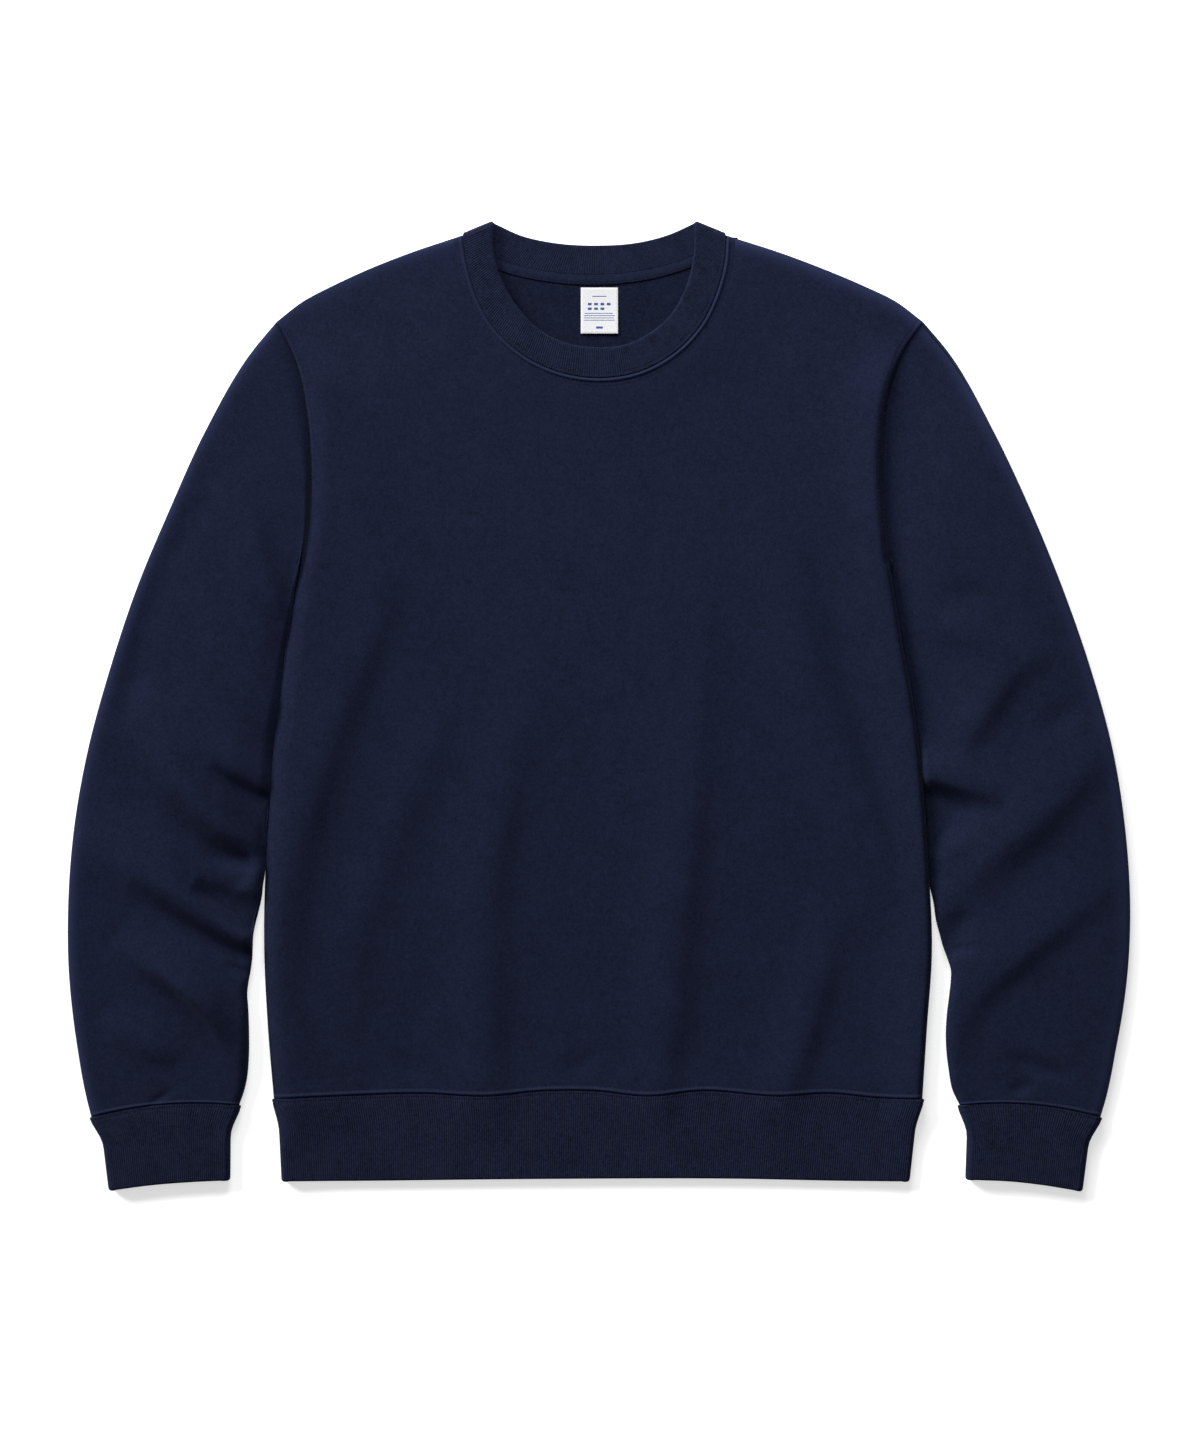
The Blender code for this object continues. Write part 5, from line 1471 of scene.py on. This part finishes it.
def knit_group():
    """Stitches of a knit: wales |sin(pi u / wale)|, a V in each course, and a fuzz over them."""
    tree = bpy.data.node_groups.new("Knit", "ShaderNodeTree")
    group_sockets(
        tree,
        (
            ("UV", "NodeSocketVector", None),
            ("Object", "NodeSocketVector", None),
            ("Wale", "NodeSocketFloat", 0.0011),
            ("Course", "NodeSocketFloat", 0.0009),
            ("Fuzz", "NodeSocketFloat", 1300.0),
            ("Knit Share", "NodeSocketFloat", 0.4),
        ),
        (("Height", "NodeSocketFloat"), ("Shade", "NodeSocketFloat")),
    )
    given = tree.nodes.new("NodeGroupInput")
    out = tree.nodes.new("NodeGroupOutput")
    split = tree.nodes.new("ShaderNodeSeparateXYZ")
    tree.links.new(given.outputs["UV"], split.inputs[0])
    turn = math_node(tree, "DIVIDE", split.outputs[0], given.outputs["Wale"])
    wave = math_node(tree, "SINE", math_node(tree, "MULTIPLY", turn, math.pi))
    wale = math_node(tree, "ABSOLUTE", wave)
    slant = math_node(tree, "MULTIPLY", wale, KNIT_SLANT)
    course = math_node(tree, "DIVIDE", split.outputs[1], given.outputs["Course"])
    course = math_node(tree, "ADD", math_node(tree, "MULTIPLY", course, 2 * math.pi), slant)
    course = math_node(tree, "MULTIPLY", math_node(tree, "SINE", course), KNIT_COURSE)
    knit = math_node(tree, "ADD", wale, course)
    knit = math_node(tree, "MULTIPLY", knit, given.outputs["Knit Share"])
    place = given.outputs["Object"]
    fuzz = noise_node(tree, place, given.outputs["Fuzz"], FUZZ_DETAIL, FUZZ_ROUGHNESS)
    tree.links.new(math_node(tree, "ADD", knit, fuzz), out.inputs["Height"])
    shade = math_node(tree, "MULTIPLY", fuzz, FUZZ_SHARE)
    for *noise, share in KNIT_NOISES:
        part = math_node(tree, "MULTIPLY", noise_node(tree, place, *noise), share)
        shade = math_node(tree, "ADD", shade, part)
    tree.links.new(shade, out.inputs["Shade"])
    return tree


def cloth_material(name, colour, knit, contrast=0.6, **values):
    """A knitted cloth: its colour is shaded by the knit group, which also raises its bump."""
    material = bpy.data.materials.new(name)
    material.use_nodes = True
    tree = material.node_tree
    surface = tree.nodes["Principled BSDF"]
    set_inputs(surface, {
        "Roughness": values.get("roughness", 0.95),
        "Specular IOR Level": values.get("specular", 0.03),
        "Sheen Weight": values.get("sheen", 0.04),
        "Sheen Roughness": SHEEN_ROUGHNESS,
    })
    place = tree.nodes.new("ShaderNodeTexCoord")
    effect = tree.nodes.new("ShaderNodeGroup")
    effect.node_tree = knit
    tree.links.new(place.outputs["UV"], effect.inputs["UV"])
    tree.links.new(place.outputs["Object"], effect.inputs["Object"])
    own = {"Wale", "Course", "Fuzz", "Knit Share"} & set(values)
    set_inputs(effect, {name: values[name] for name in own})
    mix = tree.nodes.new("ShaderNodeMix")
    mix.data_type = "RGBA"
    ramp = tree.nodes.new("ShaderNodeMapRange")
    set_inputs(ramp, dict(zip(("From Min", "From Max"), SHADE_RANGE)))
    tree.links.new(effect.outputs["Shade"], ramp.inputs["Value"])
    tree.links.new(ramp.outputs["Result"], mix.inputs["Factor"])
    mix.inputs["A"].default_value = (*[c * (1 - contrast) for c in colour], 1)
    mix.inputs["B"].default_value = (*[c * (1 + contrast) for c in colour], 1)
    # worn nap and painted highlight: the colour is mixed towards a paler one where the attribute is
    # high
    wear_and_highlight_attribute = tree.nodes.new("ShaderNodeAttribute")
    wear_and_highlight_attribute.attribute_name = "WearAndHighlight"
    lift = tree.nodes.new("ShaderNodeMix")
    lift.data_type = "RGBA"
    share = math_node(tree, "MULTIPLY", wear_and_highlight_attribute.outputs["Fac"], WEAR_AND_HIGHLIGHT_SHARE)
    tree.links.new(share, lift.inputs["Factor"])
    tree.links.new(mix.outputs["Result"], lift.inputs["A"])
    lift.inputs["B"].default_value = (*[WEAR_AND_HIGHLIGHT_COLOUR * c for c in colour], 1)
    tree.links.new(lift.outputs["Result"], surface.inputs["Base Color"])
    bump = tree.nodes.new("ShaderNodeBump")
    set_inputs(bump, {"Strength": BUMP, "Distance": values.get("depth", 0.00012)})
    tree.links.new(effect.outputs["Height"], bump.inputs["Height"])
    tree.links.new(bump.outputs["Normal"], surface.inputs["Normal"])
    material.diffuse_color = (*colour, 1)
    return material


def finishes(cloth):
    """Every finish of the garment, made once and found by name after that."""
    # the inside's colour is darker than the face's: a painted shade
    inside = [c * INSIDE_SHADED_COLOUR for c in cloth.fleece_colour]
    colours = {
        "fleece_face": (cloth.fleece_colour, {}),
        "fleece_inside": (inside, {"Fuzz": 700.0, "Knit Share": 0.1, "depth": 0.0003}),
        "rib_knit": (
            cloth.rib_colour,
            {"contrast": 0.8, "Wale": 0.000875, "Course": 0.0008, "Knit Share": 0.7},
        ),
        "thread": (
            cloth.thread_colour,
            {"contrast": 0.15, "sheen": 0.03, "roughness": 0.7, "specular": 0.12, "Fuzz": 3000.0},
        ),
        "label_weave": (
            cloth.label_colour,
            {
                "contrast": 0.03, "roughness": 0.6, "specular": 0.3, "depth": 0.00004,
                "Wale": 0.0004, "Course": 0.0004, "Knit Share": 0.6,
            },
        ),
        "label_print": (
            cloth.print_colour,
            {"contrast": 0.1, "roughness": 0.6, "specular": 0.2, "depth": 0.00002},
        ),
    }
    if "fleece_face" not in bpy.data.materials:
        knit = knit_group()
        for name, (colour, values) in colours.items():
            cloth_material(name, colour, knit, **values)
    return {name: bpy.data.materials[name] for name in colours}


# ---------------------------------------------------------------- operators


class ClothOperator:
    """What the cloth operators share."""

    bl_options = {"REGISTER", "UNDO"}

    def cloth(self, context):
        """The cloth's settings in millimetres, the finishes, and the two sides of the fleece."""
        cloth = in_millimetres(context.scene.sweatshirt_cloth)
        finish = finishes(cloth)
        return cloth, finish, (finish["fleece_face"], finish["fleece_inside"])


class SWEATSHIRT_OT_front(ClothOperator, bpy.types.Operator):
    """Make the front panel with the ridge along its neck"""

    bl_idname = "sweatshirt.front"
    bl_label = "Front"

    def execute(self, context):
        cloth, _, faces = self.cloth(context)
        front = make_panel(FRONT, "front_cloth", "front_panel", faces, cloth)
        ridge = neck_ridge(faces[0], cloth)
        return {"FINISHED"}


class SWEATSHIRT_OT_back(ClothOperator, bpy.types.Operator):
    """Make the back panel"""

    bl_idname = "sweatshirt.back"
    bl_label = "Back"

    def execute(self, context):
        cloth, _, faces = self.cloth(context)
        back = make_panel(BACK, "back_cloth", "back_panel", faces, cloth)
        return {"FINISHED"}


class SWEATSHIRT_OT_sleeves(ClothOperator, bpy.types.Operator):
    """Make both sleeves"""

    bl_idname = "sweatshirt.sleeves"
    bl_label = "Sleeves"

    def execute(self, context):
        cloth, _, faces = self.cloth(context)
        for side, name in enumerate(("right", "left")):
            sleeve = make_sleeve(side, f"sleeve_{name}_cloth", f"sleeve_{name}", faces, cloth)
        return {"FINISHED"}


class SWEATSHIRT_OT_ribs(ClothOperator, bpy.types.Operator):
    """Make the ribbed collar, hem and cuffs"""

    bl_idname = "sweatshirt.ribs"
    bl_label = "Ribs"

    def execute(self, context):
        cloth, finish, _ = self.cloth(context)
        rib = finish["rib_knit"]
        collar = collar_band(cloth).make("collar_ribbing", "collar_rib", rib)
        hem = hem_band(cloth).make("hem_ribbing", "hem_rib", rib)
        for side, name in enumerate(("right", "left")):
            cuff = cuff_band(side, cloth).make(f"cuff_{name}_ribbing", f"cuff_{name}", rib)
        return {"FINISHED"}


class SWEATSHIRT_OT_neck(ClothOperator, bpy.types.Operator):
    """Make the neck tape and the care label"""

    bl_idname = "sweatshirt.neck"
    bl_label = "Neck Tape and Label"

    def execute(self, context):
        cloth, finish, _ = self.cloth(context)
        tape = make_tape(finish["fleece_face"], cloth)
        label = make_label(finish["label_weave"], cloth)
        marks = make_marks(finish["label_print"], cloth)
        threads = make_stitches("tape_stitches", tape_rows(cloth), finish["thread"], cloth)
        return {"FINISHED"}


class SWEATSHIRT_OT_stitches(ClothOperator, bpy.types.Operator):
    """Sew the twin rows of stitches beside every outer seam"""

    bl_idname = "sweatshirt.stitches"
    bl_label = "Stitches"

    def execute(self, context):
        cloth, finish, _ = self.cloth(context)
        make_stitches("seam_stitches", seam_rows(cloth), finish["thread"], cloth)
        return {"FINISHED"}


def floor_material(glow):
    """A plain white table top, lit a little from below."""
    material = bpy.data.materials.new("floor")
    material.use_nodes = True
    tree = material.node_tree
    surface = tree.nodes["Principled BSDF"]
    set_inputs(surface, {
        "Roughness": 1,
        "Specular IOR Level": 0,
        "Base Color": (FLOOR_WHITE, FLOOR_WHITE, FLOOR_WHITE, 1),
        "Emission Color": WHITE,
        "Emission Strength": glow,
    })
    return material


class SWEATSHIRT_OT_stage(bpy.types.Operator):
    """Lay the pale floor and set the light and the camera"""

    bl_idname = "sweatshirt.stage"
    bl_label = "Stage"
    bl_options = {"REGISTER", "UNDO"}

    def execute(self, context):
        scene, studio = context.scene, context.scene.sweatshirt_studio
        half = studio.floor / 2
        mesh = bpy.data.meshes.new("floor")
        corners = [(-half, -half, 0), (half, -half, 0), (half, half, 0), (-half, half, 0)]
        mesh.from_pydata(corners, [], [(0, 1, 2, 3)])
        mesh.materials.append(floor_material(studio.floor_glow))
        floor = bpy.data.objects.new("floor", mesh)
        scene.collection.objects.link(floor)

        even = bpy.data.lights.new("side_light", "SUN")
        even.energy, even.angle = studio.sun, studio.sun_spread
        side = bpy.data.objects.new("side_light", even)
        side.rotation_euler = (0, math.pi / 2 - studio.sun_height, studio.sun_turn)
        scene.collection.objects.link(side)

        wide = bpy.data.lights.new("lamp", "AREA")
        wide.energy, wide.size = studio.lamp, studio.lamp_size
        lamp = bpy.data.objects.new("lamp", wide)
        lamp.location = LAMP_PLACE
        lamp.rotation_euler = Vector(LAMP_PLACE).to_track_quat("Z", "Y").to_euler()
        lamp.visible_camera = False
        scene.collection.objects.link(lamp)

        scene.world = bpy.data.worlds.new("studio")
        scene.world.use_nodes = True
        sky = scene.world.node_tree.nodes["Background"]
        set_inputs(sky, {"Color": WHITE, "Strength": studio.ambient})

        lens = bpy.data.cameras.new("camera")
        lens.lens, lens.sensor_width = studio.lens, SENSOR
        lens.clip_end = FAR
        camera = bpy.data.objects.new("camera", lens)
        height = studio.frame_height * studio.lens / SENSOR + VIEW_PLANE
        camera.location = (CAMERA_X, CAMERA_Y, height)
        scene.collection.objects.link(camera)
        scene.camera = camera
        scene.view_settings.view_transform = "Standard"
        return {"FINISHED"}


class SWEATSHIRT_PT_panel(bpy.types.Panel):
    """Lists the garment's pieces and settings"""

    bl_idname = "SWEATSHIRT_PT_panel"
    bl_label = "Sweatshirt"
    bl_space_type = "VIEW_3D"
    bl_region_type = "UI"
    bl_category = "Sweatshirt"

    def draw(self, context):
        for operator in OPERATORS:
            self.layout.operator(operator.bl_idname)
        for settings in (context.scene.sweatshirt_cloth, context.scene.sweatshirt_studio):
            box = self.layout.box()
            for prop in settings.bl_rna.properties:
                if prop.identifier not in {"rna_type", "name"}:
                    box.prop(settings, prop.identifier)


OPERATORS = (
    SWEATSHIRT_OT_back,
    SWEATSHIRT_OT_front,
    SWEATSHIRT_OT_sleeves,
    SWEATSHIRT_OT_ribs,
    SWEATSHIRT_OT_neck,
    SWEATSHIRT_OT_stitches,
    SWEATSHIRT_OT_stage,
)
CLASSES = (SweatshirtCloth, SweatshirtStudio, *OPERATORS, SWEATSHIRT_PT_panel)


def register():
    for cls in CLASSES:
        bpy.utils.register_class(cls)
    bpy.types.Scene.sweatshirt_cloth = bpy.props.PointerProperty(type=SweatshirtCloth)
    bpy.types.Scene.sweatshirt_studio = bpy.props.PointerProperty(type=SweatshirtStudio)


def unregister():
    del bpy.types.Scene.sweatshirt_studio
    del bpy.types.Scene.sweatshirt_cloth
    for cls in reversed(CLASSES):
        bpy.utils.unregister_class(cls)


def main():
    register()
    for operator in OPERATORS:
        space, name = operator.bl_idname.split(".")
        getattr(getattr(bpy.ops, space), name)()


if __name__ == "__main__":
    main()
